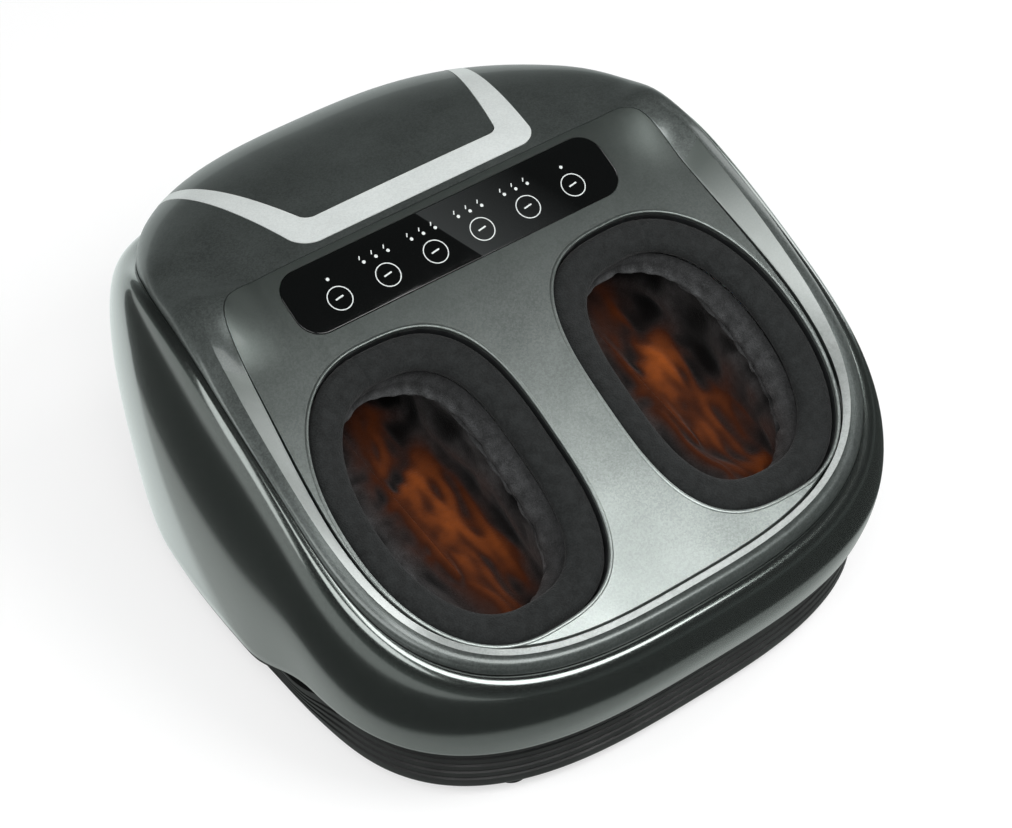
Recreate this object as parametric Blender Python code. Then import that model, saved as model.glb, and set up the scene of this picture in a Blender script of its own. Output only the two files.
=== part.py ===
"""Foot massager with two heated foot chambers, kneading discs and air cushions.

X runs to the user's right, -Y towards the user's heels and +Z up. The origin is on the
floor, under the middle of the object's box. Lengths are in metres.
"""

import math

import bmesh
import bpy
from mathutils import Matrix, Vector

# Foot openings, from which the body's width and front follow
opening_half_width = 0.073
opening_half_length = 0.0995
opening_inner_power = 3.0
opening_outer_power = 2.2
divider = 0.039
plate_side_margin = 0.0035
plate_front_margin = 0.0135

# Sloping deck that the openings lie in
deck_slope = math.radians(25.2)
deck_y = -0.0993
deck_z = 0.155
plate_wall = 0.003
plate_ring_shares = (1, 0.97, 0.93, 0.87)
groove = 0.002
seam = 0.0003

# Control panel in the deck
panel_side_margin = 0.0535
panel_depth = 0.0435
panel_corner = 0.015
panel_gap = 0.016
panel_rear_margin = 0.0035
lens_proud = 0.0004

# Plan of the shells, measured from the outline's centre
outline_shift = 0.025
band_side = 0.0156
band_front = 0.0108
hump_length = 0.1645
front_power = 2.92
plate_front_power = 3.1
rear_power = 2.85
plate_rear_power = 12.0
plate_taper_share = 0.075

# Heights of the parting line between flank and top cover
parting_drop = 0.0038
parting_swell = 0.0083
swell_rise = 0.1007
swell_peak = 0.0493
swell_end = 0.1993
parting_roll = 0.1022
parting_roll_radius = 0.1226
parting_fall_share = 0.557
parting_gap = 0.0005
shell_wall = 0.0026
crown = 0.0013
crown_angle = math.radians(50)
dome_power = 2.2
dome_root_share = 1 / 2.7

# Crest of the rim round the plate, its inner edge, and the plate's dished rear corners
crest_side_share = 0.42
crest_front_share = 0.66
crest_side = 0.0085
crest_front = 0.0016
crest_ring_share = 0.62
rim_angle = math.radians(65)
hump_angle = math.radians(50)
lip_front = 0.0012
lip_depth = 0.007
dish_rise = 0.007
dish_start = 0.0055
dish_inner = 0.005

# Flank, flaring from the parting line to its lower edge
flare_side = 0.010
flare_front = 0.008
flare_rear = 0.0083
flank_rear_power = 3.17
flank_bulge = 0.0053
shoulder_power = 8.0
shoulder_root_share = 1 / 4.5
flank_z = 0.050
skirt_drop = 0.029
skirt_shift = 0.1243
skirt_half_length = 0.125
skirt_ramp = 0.075
ramp_gap = 0.0013
grip_shift = 0.019
grip_half_length = 0.045
grip_height = 0.014
grip_depth = 0.016

# Base tray and feet
foot_height = 0.006
foot_radius = 0.011
foot_angles = (math.radians(-136.6), math.radians(178), math.radians(117.6))
foot_inset = 0.024
tray_floor = 0.003
tray_wall = 0.0025
tray_inset = 0.008
tray_flange_inset = 0.0013
tray_flange = 0.0037
tray_rim_inset = 0.0085
tray_rim_z = 0.064
tray_foot_inset = 0.014
tray_chamfer = 0.006
tray_chamfer_share = 0.15
tray_groove_share = 0.45
tray_groove_half_share = 0.045
tray_groove = 0.0015

# Stripe and cap let into the hump
stripe_margin = 0.0078
stripe_width = 0.0213
stripe_half_width = 0.0868
stripe_leg = 0.0165
stripe_flare_share = 0.2125
stripe_corner = 0.016
cap_flare_share = 0.325
cap_corner = 0.008

# Foot chamber: sole plane, tub, padded collar and fabric liner
heel_setback = 0.0795
heel_depth = 0.105
sole_slope = math.radians(9.3)
sole_length = 0.298
sole_half_width = 0.058
sole_wall = 0.0025
chamber_height = 0.100
# Each ring of the tub: heel along and up, toe along and up, and how far it has widened to the mouth
chamber_shares = (
    (-0.012, 0.21, 1.026, 0.36, 0.27),
    (-0.013, 0.29, 0.979, 0.74, 0.40),
    (-0.007, 0.36, 0.856, 0.97, 0.60),
)
well_wall = 0.002
well_neck = 0.024
collar_width = 0.0205
collar_height = 0.0145
collar_sink = 0.001
collar_gap = 0.0005
liner_wall = 0.002
liner_gap = 0.009
liner_lift = 0.0145

# Kneading gear train
wheel_radius = 0.045
wheel_teeth = 28
tooth_foot_share = 0.28
tooth_top_share = 0.12
tooth_depth_share = 1.1
tooth_rise_share = 0.85
wheel_face = 0.008
wheel_drop = 0.026
ball_along = 0.190
axle_radius = 0.004
running_gap = 0.0003
disc_radius = 0.043
disc_wall = 0.003
hub_radius = 0.012
head_radius = 0.013
head_ring = 0.026
head_height = 0.012
heads = 3
worm_radius = 0.0095
worm_pitches = 3
thread_foot_share = 0.25
thread_top_share = 0.10
thread_depth_share = 0.96
thread_rise_share = 0.82
shaft_radius = 0.003
shaft_overhang = 0.003
motor_radius = 0.018
motor_half_length = 0.028
strap_width = 0.014
strap_wall = 0.003
chassis_drop = 0.036
chassis_wall = 0.0025
chassis_front = 0.040
chassis_margin = 0.008
post_radius = 0.0045
leg_shares = (0.07, 0.47, 0.87)
bearing_size = Vector((0.010, 0.018, 0.008))
bearing_clearance = 0.0113

# Air system, boards, heaters and inlet, their places measured from the outline's centre
airbag_thickness = 0.007
board_wall = 0.0016
service_y = 0.2215
pump_size = Vector((0.050, 0.044, 0.034))
pump_x = 0.062
valve_size = Vector((0.030, 0.022, 0.020))
valve_x = 0.004
hose_radius = 0.0025
power_size = Vector((0.076, 0.056, board_wall))
power_x = -0.068
power_lift = 0.006
transformer_size = Vector((0.026, 0.024, 0.022))
sink_size = Vector((0.006, 0.030, 0.018))
capacitor_radius = 0.006
capacitor_height = 0.016
standoff_radius = 0.003
inlet_size = Vector((0.024, 0.020, 0.014))
inlet_wall = 0.002
inlet_z = 0.0235
heater_size = Vector((0.044, 0.020, 0.006))

# Facets
around = 54
well_around = 36
fine = 12
overrun = 0.010


def clear_scene():
    for old in list(bpy.data.objects):
        bpy.data.objects.remove(old, do_unlink=True)


def finish_colour(name, colour, roughness, metallic=0.0):
    made = bpy.data.materials.new(name)
    made.use_nodes = True
    shader = made.node_tree.nodes["Principled BSDF"]
    shader.inputs["Base Color"].default_value = (*colour, 1)
    shader.inputs["Roughness"].default_value = roughness
    shader.inputs["Metallic"].default_value = metallic
    made.diffuse_color = (*colour, 1)
    return made


def add_object(name, mesh, material, sharp=math.radians(35)):
    mesh.shade_smooth()
    mesh.set_sharp_from_angle(angle=sharp)
    if material:
        mesh.materials.append(material)
    made = bpy.data.objects.new(name, mesh)
    bpy.context.scene.collection.objects.link(made)
    return made


def loft(name, rings, material=None, closed=False, sharp=math.radians(35)):
    """A skin over rings of equal count. Closed, the last ring joins the first; else both ends are capped."""
    count = len(rings[0])
    points = [tuple(point) for ring in rings for point in ring]
    faces = []
    last = len(rings) if closed else len(rings) - 1
    for i in range(last):
        low, high = i * count, (i + 1) % len(rings) * count
        for j in range(count):
            k = (j + 1) % count
            faces.append((low + j, low + k, high + k, high + j))
    if not closed:
        faces.append(tuple(reversed(range(count))))
        faces.append(tuple(range((len(rings) - 1) * count, len(rings) * count)))
    mesh = bpy.data.meshes.new(name)
    mesh.from_pydata(points, [], faces)
    mesh.update()
    return add_object(name, mesh, material, sharp)


def offset(rings, distance):
    """The rings moved along the normals of the skin through them."""
    moved = []
    for i, ring in enumerate(rings):
        before, after = rings[max(i - 1, 0)], rings[min(i + 1, len(rings) - 1)]
        new = []
        for j, point in enumerate(ring):
            along = ring[(j + 1) % len(ring)] - ring[j - 1]
            across = after[j] - before[j]
            new.append(point + along.cross(across).normalized() * distance)
        moved.append(new)
    return moved


def cut(target, cutter, operation="DIFFERENCE"):
    """A live Boolean whose cutter stays hidden in renders."""
    cutter.hide_render = True
    cutter.display_type = "WIRE"
    boolean = target.modifiers.new(cutter.name, "BOOLEAN")
    boolean.operation = operation
    boolean.solver = "EXACT"
    boolean.object = cutter
    return target


def join(target, pieces):
    """A live Boolean union of the target with hidden pieces that it takes in."""
    taken = bpy.data.collections.new(f"{target.name}_pieces")
    bpy.context.scene.collection.children.link(taken)
    for piece in pieces:
        piece.hide_render = True
        piece.display_type = "WIRE"
        bpy.context.scene.collection.objects.unlink(piece)
        taken.objects.link(piece)
    union = target.modifiers.new(taken.name, "BOOLEAN")
    union.operation = "UNION"
    union.solver = "EXACT"
    union.operand_type = "COLLECTION"
    union.collection = taken
    return target


def cylinder(name, radius, low, high, place=Matrix(), material=None, sides=fine):
    return turned(name, [(radius, low), (radius, high)], place, material, sides)


def turned(name, profile, place=Matrix(), material=None, sides=fine, bored=False):
    """A turned piece from (radius, height) pairs, low to high; bored, the profile is a closed loop."""
    rings = []
    for radius, height in profile:
        ring = []
        for k in range(sides):
            angle = math.tau * k / sides
            ring.append(place @ Vector((radius * math.cos(angle), radius * math.sin(angle), height)))
        rings.append(ring)
    return loft(name, rings, material, closed=bored)


def block(name, size, centre, place=Matrix(), material=None, chamfer_share=0.12):
    """A box with chamfered upright edges and a chamfered top."""
    half_x, half_y, half_z = size[0] / 2, size[1] / 2, size[2] / 2
    chamfer = min(size) * chamfer_share
    rings = []
    for inset, height in ((0, -half_z), (0, half_z - chamfer), (chamfer, half_z)):
        x, y = half_x - inset, half_y - inset
        corners = [(x, y - chamfer), (x - chamfer, y), (chamfer - x, y), (-x, y - chamfer)]
        corners += [(-x, chamfer - y), (chamfer - x, -y), (x - chamfer, -y), (x, chamfer - y)]
        rings.append([place @ (Vector(centre) + Vector((*corner, height))) for corner in corners])
    return loft(name, rings, material, sharp=math.radians(20))


def smooth_step(value, low, high):
    share = min(max((value - low) / (high - low), 0), 1)
    return share * share * (3 - 2 * share)


# Deck: along runs up the slope from the openings' middle, up is square to it


def deck_point(x, along, up):
    y = deck_y + along * math.cos(deck_slope) - up * math.sin(deck_slope)
    return Vector((x, y, deck_z + along * math.sin(deck_slope) + up * math.cos(deck_slope)))


def deck_height(y):
    return deck_z + (y - deck_y) * math.tan(deck_slope)


def deck_frame(x=0.0, along=0.0, up=0.0):
    return Matrix.Translation(deck_point(x, along, up)) @ Matrix.Rotation(deck_slope, 4, "X")


opening_x = divider / 2 + opening_half_width
panel_along = opening_half_length + panel_gap + panel_depth / 2
outline_y = deck_y + outline_shift
plate_rear = deck_y + (panel_along + panel_depth / 2 + panel_rear_margin) * math.cos(deck_slope)
plate_front = deck_y - (opening_half_length + plate_front_margin) * math.cos(deck_slope)
cover_half = opening_x + opening_half_width + plate_side_margin + groove
panel_half_width = cover_half - panel_side_margin
cover_front = outline_y - plate_front + groove
cover_rear = plate_rear - outline_y + groove
parting_half = cover_half + band_side
parting_front = cover_front + band_front
parting_rear = cover_rear + hump_length
flank_half = parting_half + flare_side
flank_front = parting_front + flare_front
flank_rear = parting_rear + flare_rear
parting_roll_y = deck_y + parting_roll
skirt_y = deck_y + skirt_shift
grip_y = deck_y + grip_shift
dish_along = panel_along - panel_depth / 2 - dish_start
dish_end = panel_along + panel_depth / 2
dish_side = cover_half * (1 - plate_taper_share)
stripe_front_y = plate_rear + stripe_margin
cap_front_y = stripe_front_y + stripe_width
cap_half_width = stripe_half_width - stripe_leg
floor_z = foot_height + tray_floor


def radius_at(angle, half, front, rear, power_front, power_rear):
    """How far the outline lies from its centre in this direction, as seen from above."""
    c, s = math.cos(angle), math.sin(angle)
    reach, power = (rear, power_rear) if s > 0 else (front, power_front)
    return (abs(c / half) ** power + abs(s / reach) ** power) ** (-1 / power)


def angles(count=around):
    return [math.tau * (k + 0.5) / count for k in range(count)]


def plan(angle, radius):
    return Vector((radius * math.cos(angle), outline_y + radius * math.sin(angle), 0))


def parting_plan(angle, inset=0.0):
    reach = (parting_half - inset, parting_front - inset, parting_rear - inset)
    return plan(angle, radius_at(angle, *reach, front_power, rear_power))


def flank_plan(angle, inset=0.0):
    reach = (flank_half - inset, flank_front - inset, flank_rear - inset)
    return plan(angle, radius_at(angle, *reach, front_power, flank_rear_power))


def plate_plan(angle, inset=0.0):
    reach = (cover_half - inset, cover_front - inset, cover_rear - inset)
    point = plan(angle, radius_at(angle, *reach, plate_front_power, plate_rear_power))
    taper = smooth_step(point.y, deck_y, plate_rear)
    point.x *= 1 - plate_taper_share * taper
    return point


def plate_edge(angle):
    """The face plate's edge: a groove inside the rim in front, a seam inside it elsewhere."""
    edge = plate_plan(angle)
    ahead = 1 - smooth_step(edge.y, deck_y, deck_y + panel_along)
    return plate_plan(angle, seam + (groove - seam) * ahead)


def parting_height(y):
    """Parallel to the deck in front, swelling at the sides, then rolling over the hump and falling."""
    tilt = math.tan(deck_slope)
    fall_y = parting_roll_y + parting_roll_radius * (tilt + parting_fall_share)
    height = deck_height(min(y, parting_roll_y)) - parting_drop
    rolled = min(max(y - parting_roll_y, 0), fall_y - parting_roll_y)
    height += rolled * tilt - rolled * rolled / (2 * parting_roll_radius)
    peak_y = deck_y + swell_peak
    swelling = smooth_step(y, deck_y - swell_rise, peak_y)
    swelling *= 1 - smooth_step(y, peak_y, deck_y + swell_end)
    return height + parting_swell * swelling - max(y - fall_y, 0) * parting_fall_share


def dish_height(point):
    """How far the plate and the rim's inner edge rise over the deck in the corners by the panel."""
    along = (point.y - deck_y) / math.cos(deck_slope)
    beside = smooth_step(abs(point.x), panel_half_width + dish_inner, dish_side)
    return dish_rise * beside * smooth_step(along, dish_along, dish_end)


def cover_share(angle, ring_share):
    """How far inwards a ring of the cover lies: the rim's crest is one ring all the way round."""
    point = plate_plan(angle)
    at_side = smooth_step(point.y, plate_front, deck_y + opening_half_width)
    crest = crest_front_share + (crest_side_share - crest_front_share) * at_side
    crest += (crest_ring_share - crest) * hump_share(angle)
    if ring_share < crest_ring_share:
        return crest * ring_share / crest_ring_share
    return crest + (1 - crest) * (ring_share - crest_ring_share) / (1 - crest_ring_share)


def hump_share(angle):
    """1 where the cover is the hump behind the plate, 0 where it is the rim beside it."""
    outer = parting_plan(angle)
    off_axis = abs(math.atan2(abs(outer.x), outer.y - outline_y))
    return 1 - smooth_step(off_axis, hump_angle, rim_angle)


def dome_share(share):
    return (1 - (1 - share) ** dome_power) ** dome_root_share


def cover_point(angle, ring_share):
    """The top cover's outer skin, from the parting line (0) to the plate's edge (1)."""
    outer, inner = parting_plan(angle), plate_plan(angle)
    share = cover_share(angle, ring_share)
    crest = cover_share(angle, crest_ring_share)
    point = outer.lerp(inner, share)
    at_side = smooth_step(inner.y, plate_front, deck_y + opening_half_width)
    low = parting_height(outer.y) + parting_gap
    high = deck_height(inner.y) + dish_height(inner) + lip_front * (1 - at_side)
    off_axis = abs(math.atan2(abs(outer.x), outer.y - outline_y))
    crowned = math.cos(min(off_axis / crown_angle, 1) * math.pi / 2) ** 2
    hump = low + (high - low) * dome_share(share) + crown * crowned * 4 * share * (1 - share)
    crest_high = crest_front + (crest_side - crest_front) * at_side
    top = deck_height(outer.lerp(inner, crest).y) + crest_high
    if ring_share < crest_ring_share:
        rim = low + (top - low) * dome_share(share / crest)
    else:
        rim = top + (high - top) * (share - crest) / (1 - crest)
    point.z = rim + (hump - rim) * hump_share(angle)
    return point


def cover_rings(shares):
    return [[cover_point(angle, share) for angle in angles()] for share in shares]


def inner_cover_rings(shares):
    """The cover's wall inside, its first ring level with the lower edge."""
    rings = offset(cover_rings(shares), -shell_wall)
    rings[0] = [Vector((*p.xy, edge.z)) for p, edge in zip(rings[0], cover_rings([0])[0])]
    return rings


def cover_skin(name, material, outer_shares, inner_shares):
    outer = cover_rings(outer_shares)
    inner = inner_cover_rings(inner_shares)
    step = [Vector((p.x, p.y, p.z - lip_depth)) for p in outer[-1]]
    middle = Vector((0, outline_y))
    wall = [Vector((*(p.xy + (p.xy - middle).normalized() * shell_wall), p.z)) for p in step]
    return loft(name, outer + [step, wall] + inner[::-1], material, closed=True)


def make_top_cover(material):
    cover = cover_skin(
        "top_cover",
        material,
        [0, 0.02, 0.07, 0.16, 0.3, 0.46, crest_ring_share, 0.8, 1],
        [0, 0.05, 0.16, 0.4, crest_ring_share, 0.85],
    )
    return cut(cover, stripe_prism("stripe_window", seam))


def stripe_prism(name, grow=0.0):
    return u_prism(name, stripe_front_y, stripe_half_width, stripe_flare_share, stripe_corner, grow)


def cap_prism(name, grow=0.0):
    return u_prism(name, cap_front_y, cap_half_width, cap_flare_share, cap_corner, grow)


def u_prism(name, front_y, half_width, flare_share, corner, grow):
    """An upright prism over a U that opens to the rear, with rounded front corners."""
    flare = math.atan(flare_share)
    rear_y = outline_y + parting_rear + overrun
    front_y -= grow
    half_width += grow * (1 / math.cos(flare) - flare_share)
    corner += grow
    turn = math.pi / 2 - flare
    reach = corner * math.tan(turn / 2)
    arc = []
    for k in range(5):
        angle = -math.pi / 2 + turn * k / 4
        centre = Vector((half_width - reach, front_y + corner, 0))
        arc.append(centre + Vector((math.cos(angle), math.sin(angle), 0)) * corner)
    rear = Vector((half_width + (rear_y - front_y) * flare_share, rear_y, 0))
    side = arc + [rear]
    outline = side + [Vector((-p.x, p.y, 0)) for p in reversed(side)]
    low, high = foot_height, deck_z + parting_rear
    return loft(name, [[Vector((p.x, p.y, z)) for p in outline] for z in (low, high)])


def hump_skin(name, material):
    """The cover's wall again, over the hump alone, for the pieces let into it."""
    outer = cover_rings([0, 0.02, 0.07, 0.16, 0.3, 0.46, crest_ring_share, 0.8, 1])
    inner = inner_cover_rings([0, 0.05, 0.16, 0.4, crest_ring_share, 1])
    return loft(name, outer + inner[::-1], material, closed=True)


def make_stripe(material):
    stripe = hump_skin("stripe_trim", material)
    cut(stripe, stripe_prism("stripe_edge"), "INTERSECT")
    return cut(stripe, cap_prism("cap_window", seam))


def make_rear_cap(material):
    cap = hump_skin("rear_cap", material)
    return cut(cap, cap_prism("cap_edge"), "INTERSECT")


def grip_share(point):
    """1 in the middle of the hand grip under each flank, 0 away from it."""
    if abs(point.x) < parting_half - grip_half_length:
        return 0
    away = min(abs(point.y - grip_y) / grip_half_length, 1)
    return math.cos(away * math.pi / 2) ** 2


def flank_low(point):
    """Height of the flank's lower edge, which hangs as a skirt along the sides."""
    inside = skirt_half_length - abs(point.y - skirt_y)
    return flank_z - skirt_drop * smooth_step(inside, 0, skirt_ramp)


def flange_low(point):
    """The underside of the tray's flange: close under the flank, a little lower where the skirt ramps."""
    hung = (flank_z - flank_low(point)) / skirt_drop
    return flank_low(point) - seam - tray_flange - ramp_gap * (1 - abs(2 * hung - 1))


def flank_rings(shares):
    """Rings from the lower edge (0) to the parting line (1), nearly upright up to a round shoulder."""
    rings = []
    for share in shares:
        ring = []
        for angle in angles():
            low, high = flank_plan(angle), parting_plan(angle)
            out = (low - Vector((0, outline_y, 0))).normalized()
            inwards = 1 - (1 - share ** shoulder_power) ** shoulder_root_share
            point = low.lerp(high, inwards) + out * flank_bulge * math.sin(math.pi * share)
            low_z = flank_low(low)
            point.z = low_z + (parting_height(high.y) - low_z) * share
            ring.append(point)
        rings.append(ring)
    return rings


def make_flank(material):
    outer = flank_rings([0, 0.4, 0.75, 0.88, 0.95, 0.985, 1])
    inner = offset(flank_rings([0, 0.5, 0.88, 0.96, 1]), -shell_wall)
    return loft("flank_shell", outer + inner[::-1], material, closed=True)


def tray_ring(inset, share, up=0.0, grip=0.0):
    """A ring of the tray, its height a share of the way from the feet to the flange's underside."""
    ring = []
    for angle in angles():
        edge = flank_plan(angle)
        hollow = grip_share(edge)
        open_share = 1 - min(up, tray_flange) / tray_flange
        flange = flange_low(edge) - grip_height * hollow * open_share
        point = flank_plan(angle, inset + grip * hollow)
        ring.append(Vector((point.x, point.y, foot_height + (flange - foot_height) * share + up)))
    return ring


def make_base_tray(material):
    inner = tray_inset + tray_wall + tray_groove
    low_groove = tray_groove_share - tray_groove_half_share
    high_groove = tray_groove_share + tray_groove_half_share
    rim = tray_rim_z - foot_height
    rings = [
        tray_ring(tray_foot_inset, 0),
        tray_ring(tray_inset, tray_chamfer_share),
        tray_ring(tray_inset, low_groove),
        tray_ring(tray_inset + tray_groove, tray_groove_share),
        tray_ring(tray_inset, high_groove),
        tray_ring(tray_inset, 1),
        tray_ring(tray_flange_inset, 1, 0, grip_depth),
        tray_ring(tray_flange_inset, 1, tray_flange, grip_depth),
        tray_ring(tray_rim_inset, 1, tray_flange, grip_depth),
        tray_ring(tray_rim_inset, 0, rim, grip_depth),
        tray_ring(tray_rim_inset + tray_wall, 0, rim, grip_depth),
        tray_ring(inner, 0, tray_chamfer + tray_flange, grip_depth),
        tray_ring(inner, 0, tray_chamfer),
        tray_ring(inner + tray_chamfer, 0, tray_floor),
    ]
    tray = loft("base_tray", rings, material, sharp=math.radians(30))
    wall_y = outline_y + flank_rear - tray_inset
    hole = inlet_size + Vector((2 * seam, 2 * seam, 2 * seam))
    centre = Vector((0, wall_y, inlet_z))
    return cut(tray, block("inlet_window", hole, centre, chamfer_share=0.01))


def make_face_plate(material):
    """The deck's plate: flat in the middle, its rear corners dished up beside the panel."""

    def ring(scale, up):
        made = []
        for angle in angles():
            edge = plate_edge(angle)
            point = Vector((edge.x * scale, outline_y + (edge.y - outline_y) * scale, 0))
            point.z = deck_height(point.y) + up + dish_height(point)
            made.append(point)
        return made

    top = [ring(scale, 0) for scale in plate_ring_shares]
    low = [ring(scale, -plate_wall) for scale in plate_ring_shares]
    plate = loft("face_plate", low[::-1] + top, material, sharp=math.radians(20))
    for side in (-1, 1):
        hole = opening_rings(side, 0, [(-overrun, 0), (overrun, 0)])
        cut(plate, loft(f"opening_{side}", hole))
    return cut(plate, panel_prism("panel_window", -overrun, overrun, seam))


def panel_prism(name, low, high, grow, material=None):
    half_x, half_y = panel_half_width + grow, panel_depth / 2 + grow
    corner = panel_corner + grow
    place = deck_frame(0, panel_along)
    outline = []
    for quarter, (sign_x, sign_y) in enumerate(((1, 1), (-1, 1), (-1, -1), (1, -1))):
        for k in range(6):
            angle = (quarter + k / 5) * math.pi / 2
            x = sign_x * (half_x - corner) + corner * math.cos(angle)
            y = sign_y * (half_y - corner) + corner * math.sin(angle)
            outline.append((x, y))
    return loft(name, [[place @ Vector((x, y, up)) for x, y in outline] for up in (low, high)], material)


def d_shape(side, half_width, half_length, count=well_around):
    """The opening's outline: squarer towards the divider, rounder outwards."""
    points = []
    for k in range(count):
        angle = math.tau * k / count
        c, s = math.cos(angle), math.sin(angle)
        power = opening_outer_power if c * side > 0 else opening_inner_power
        radius = (abs(c) ** power + abs(s) ** power) ** (-1 / power)
        points.append((half_width * radius * c, half_length * radius * s))
    return points


def opening_rings(side, inset, levels, count=well_around):
    """Rings in the deck's own plane: each level is (height over the deck, extra inset)."""
    rings = []
    for up, more in levels:
        shape = d_shape(side, opening_half_width - inset - more, opening_half_length - inset - more, count)
        rings.append([deck_point(side * opening_x + x, along, up) for x, along in shape])
    return rings


def chamber_ring(side, front, rear, half_width):
    """A ring of the foot chamber between two points of its middle plane."""
    middle, reach = (front + rear) / 2, (rear - front) / 2
    shape = d_shape(side, half_width, 1)
    return [middle + reach * along + Vector((side * opening_x + x, 0, 0)) for x, along in shape]


def sole_point(x, along, up):
    y = deck_y - heel_setback + along * math.cos(sole_slope) - up * math.sin(sole_slope)
    return Vector((x, y, deck_z - heel_depth + along * math.sin(sole_slope) + up * math.cos(sole_slope)))


def sole_frame(x=0.0, along=0.0, up=0.0):
    return Matrix.Translation(sole_point(x, along, up)) @ Matrix.Rotation(sole_slope, 4, "X")


def well_rings(side):
    """From the sole up to the mouth under the face plate."""
    mouth_half = opening_half_width + well_wall
    rings = [chamber_ring(side, sole_point(0, 0, seam), sole_point(0, sole_length, seam), sole_half_width)]
    for heel, heel_up, toe, toe_up, widened in chamber_shares:
        front = sole_point(0, heel * sole_length, heel_up * chamber_height)
        rear = sole_point(0, toe * sole_length, toe_up * chamber_height)
        half_width = sole_half_width + (mouth_half - sole_half_width) * widened
        rings.append(chamber_ring(side, front, rear, half_width))
    return rings + opening_rings(side, -well_wall, [(-well_neck, well_wall), (-plate_wall - seam, 0)])


def side_name(side):
    return "left" if side < 0 else "right"


def make_well(side, material):
    rings = well_rings(side)
    inner = offset(rings, -well_wall)
    return loft(f"{side_name(side)}_foot_well", rings + inner[::-1], material, closed=True)


def make_liner(side, material):
    """A fabric sock: mouth under the collar, floor over the kneading heads."""
    chamber = offset(well_rings(side)[1:4], -well_wall - liner_gap)
    front = sole_point(0, liner_gap + well_wall, liner_lift)
    rear = sole_point(0, sole_length - liner_gap - well_wall, liner_lift)
    floor = chamber_ring(side, front, rear, sole_half_width - liner_gap - well_wall)
    low = -collar_sink - collar_height - collar_gap
    mouth = opening_rings(side, liner_gap, [(low - liner_gap, 0), (low, collar_width - liner_gap)])
    outer = [floor] + chamber + mouth
    inner = offset(outer, -liner_wall)
    lifted = [point + Vector((0, 0, liner_wall)) for point in inner[0]]
    return loft(f"{side_name(side)}_liner", outer + inner[:0:-1] + [lifted], material)


def make_collar(side, material):
    """A padded ring of fabric in the opening, crowned on top and drawn in below."""
    top, low = -collar_sink, -collar_sink - collar_height
    bulge = collar_width / 6
    levels = [(low, bulge), (low / 2, 0), (top - bulge, 0), (top, bulge), (top, collar_width / 2)]
    levels += [(top - bulge, collar_width - bulge), (low / 2, collar_width), (low, collar_width - bulge)]
    rings = opening_rings(side, collar_gap, levels)
    return loft(f"{side_name(side)}_collar", rings, material, closed=True)


def make_sole_plate(side, material):
    name = side_name(side)
    top = chamber_ring(side, sole_point(0, 0, 0), sole_point(0, sole_length, 0), sole_half_width)
    low = [point + sole_frame().to_3x3() @ Vector((0, 0, -sole_wall)) for point in top]
    plate = loft(f"{name}_sole_plate", [low, top], material)
    for where, along in wheel_places():
        place = sole_frame(side * opening_x, along)
        radius = disc_radius + 4 * running_gap
        hole = cylinder(f"{name}_{where}_hole", radius, -overrun, overrun, place, sides=24)
        cut(plate, hole)
    return plate


def wheel_places():
    return (("ball", ball_along), ("arch", ball_along - 2 * wheel_radius))


def make_wheel(side, where, along, material):
    """A spur wheel of straight-sided teeth, bored for its axle."""
    name = f"{side_name(side)}_{where}_wheel"
    module = 2 * wheel_radius / wheel_teeth
    root, tip = wheel_radius - tooth_depth_share * module, wheel_radius + tooth_rise_share * module
    phase = 0 if where == "ball" else (1 - wheel_teeth % 2) / 2
    foot, top = tooth_foot_share, tooth_top_share
    outline = []
    for tooth in range(wheel_teeth):
        for radius, share in ((root, -foot), (tip, -top), (tip, top), (root, foot)):
            angle = math.pi / 2 + math.tau * (tooth + phase + share) / wheel_teeth
            outline.append((radius * math.cos(angle), radius * math.sin(angle)))
    rings = [[Vector((x, y, z)) for x, y in outline] for z in (0, wheel_face)]
    wheel = loft(name, rings, material, sharp=math.radians(20))
    bore = cylinder(f"{name}_bore", axle_radius + running_gap, -overrun, wheel_face + overrun)
    cut(wheel, bore)
    place = sole_frame(side * opening_x, along, -wheel_drop)
    wheel.matrix_world = place
    bore.matrix_world = place
    return wheel


def make_disc(side, where, along, material):
    """A kneading disc: hub, plate and raised heads in one moulding."""
    name = f"{side_name(side)}_{where}_disc"
    low = wheel_face + seam
    top = wheel_drop + seam
    profile = [(hub_radius, low), (hub_radius, top - disc_wall), (disc_radius, top - disc_wall)]
    profile += [(disc_radius, top), (axle_radius + running_gap, top), (axle_radius + running_gap, low)]
    disc = turned(name, profile, material=material, sides=18, bored=True)
    nubs = []
    height = head_height + disc_wall / 2
    for k in range(heads):
        angle = math.tau * k / heads + (0 if where == "ball" else math.pi / heads)
        x, y = head_ring * math.cos(angle), head_ring * math.sin(angle)
        at = Matrix.Translation((x, y, top - disc_wall / 2))
        dome = [(head_radius, 0), (head_radius, height * 0.4), (head_radius * 0.6, height)]
        nub = turned(f"{name}_head_{k}", dome, at, sides=8)
        nub.parent = disc
        nubs.append(nub)
    join(disc, nubs)
    disc.matrix_world = sole_frame(side * opening_x, along, -wheel_drop)
    return disc


def make_axle(side, where, along, material):
    place = sole_frame(side * opening_x, along)
    low, high = -chassis_drop + seam, seam
    return cylinder(f"{side_name(side)}_{where}_axle", axle_radius, low, high, place, material, sides=12)


shaft_along = ball_along + wheel_radius + worm_radius
shaft_up = -wheel_drop + wheel_face / 2
worm_pitch = math.pi * 2 * wheel_radius / wheel_teeth
bearing_x = opening_x + worm_pitches * worm_pitch / 2 + bearing_clearance + bearing_size.x / 2
shaft_half_length = bearing_x + bearing_size.x / 2 + shaft_overhang


def shaft_frame(x=0.0):
    return sole_frame(x, shaft_along, shaft_up) @ Matrix.Rotation(math.pi / 2, 4, "Y")


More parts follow.
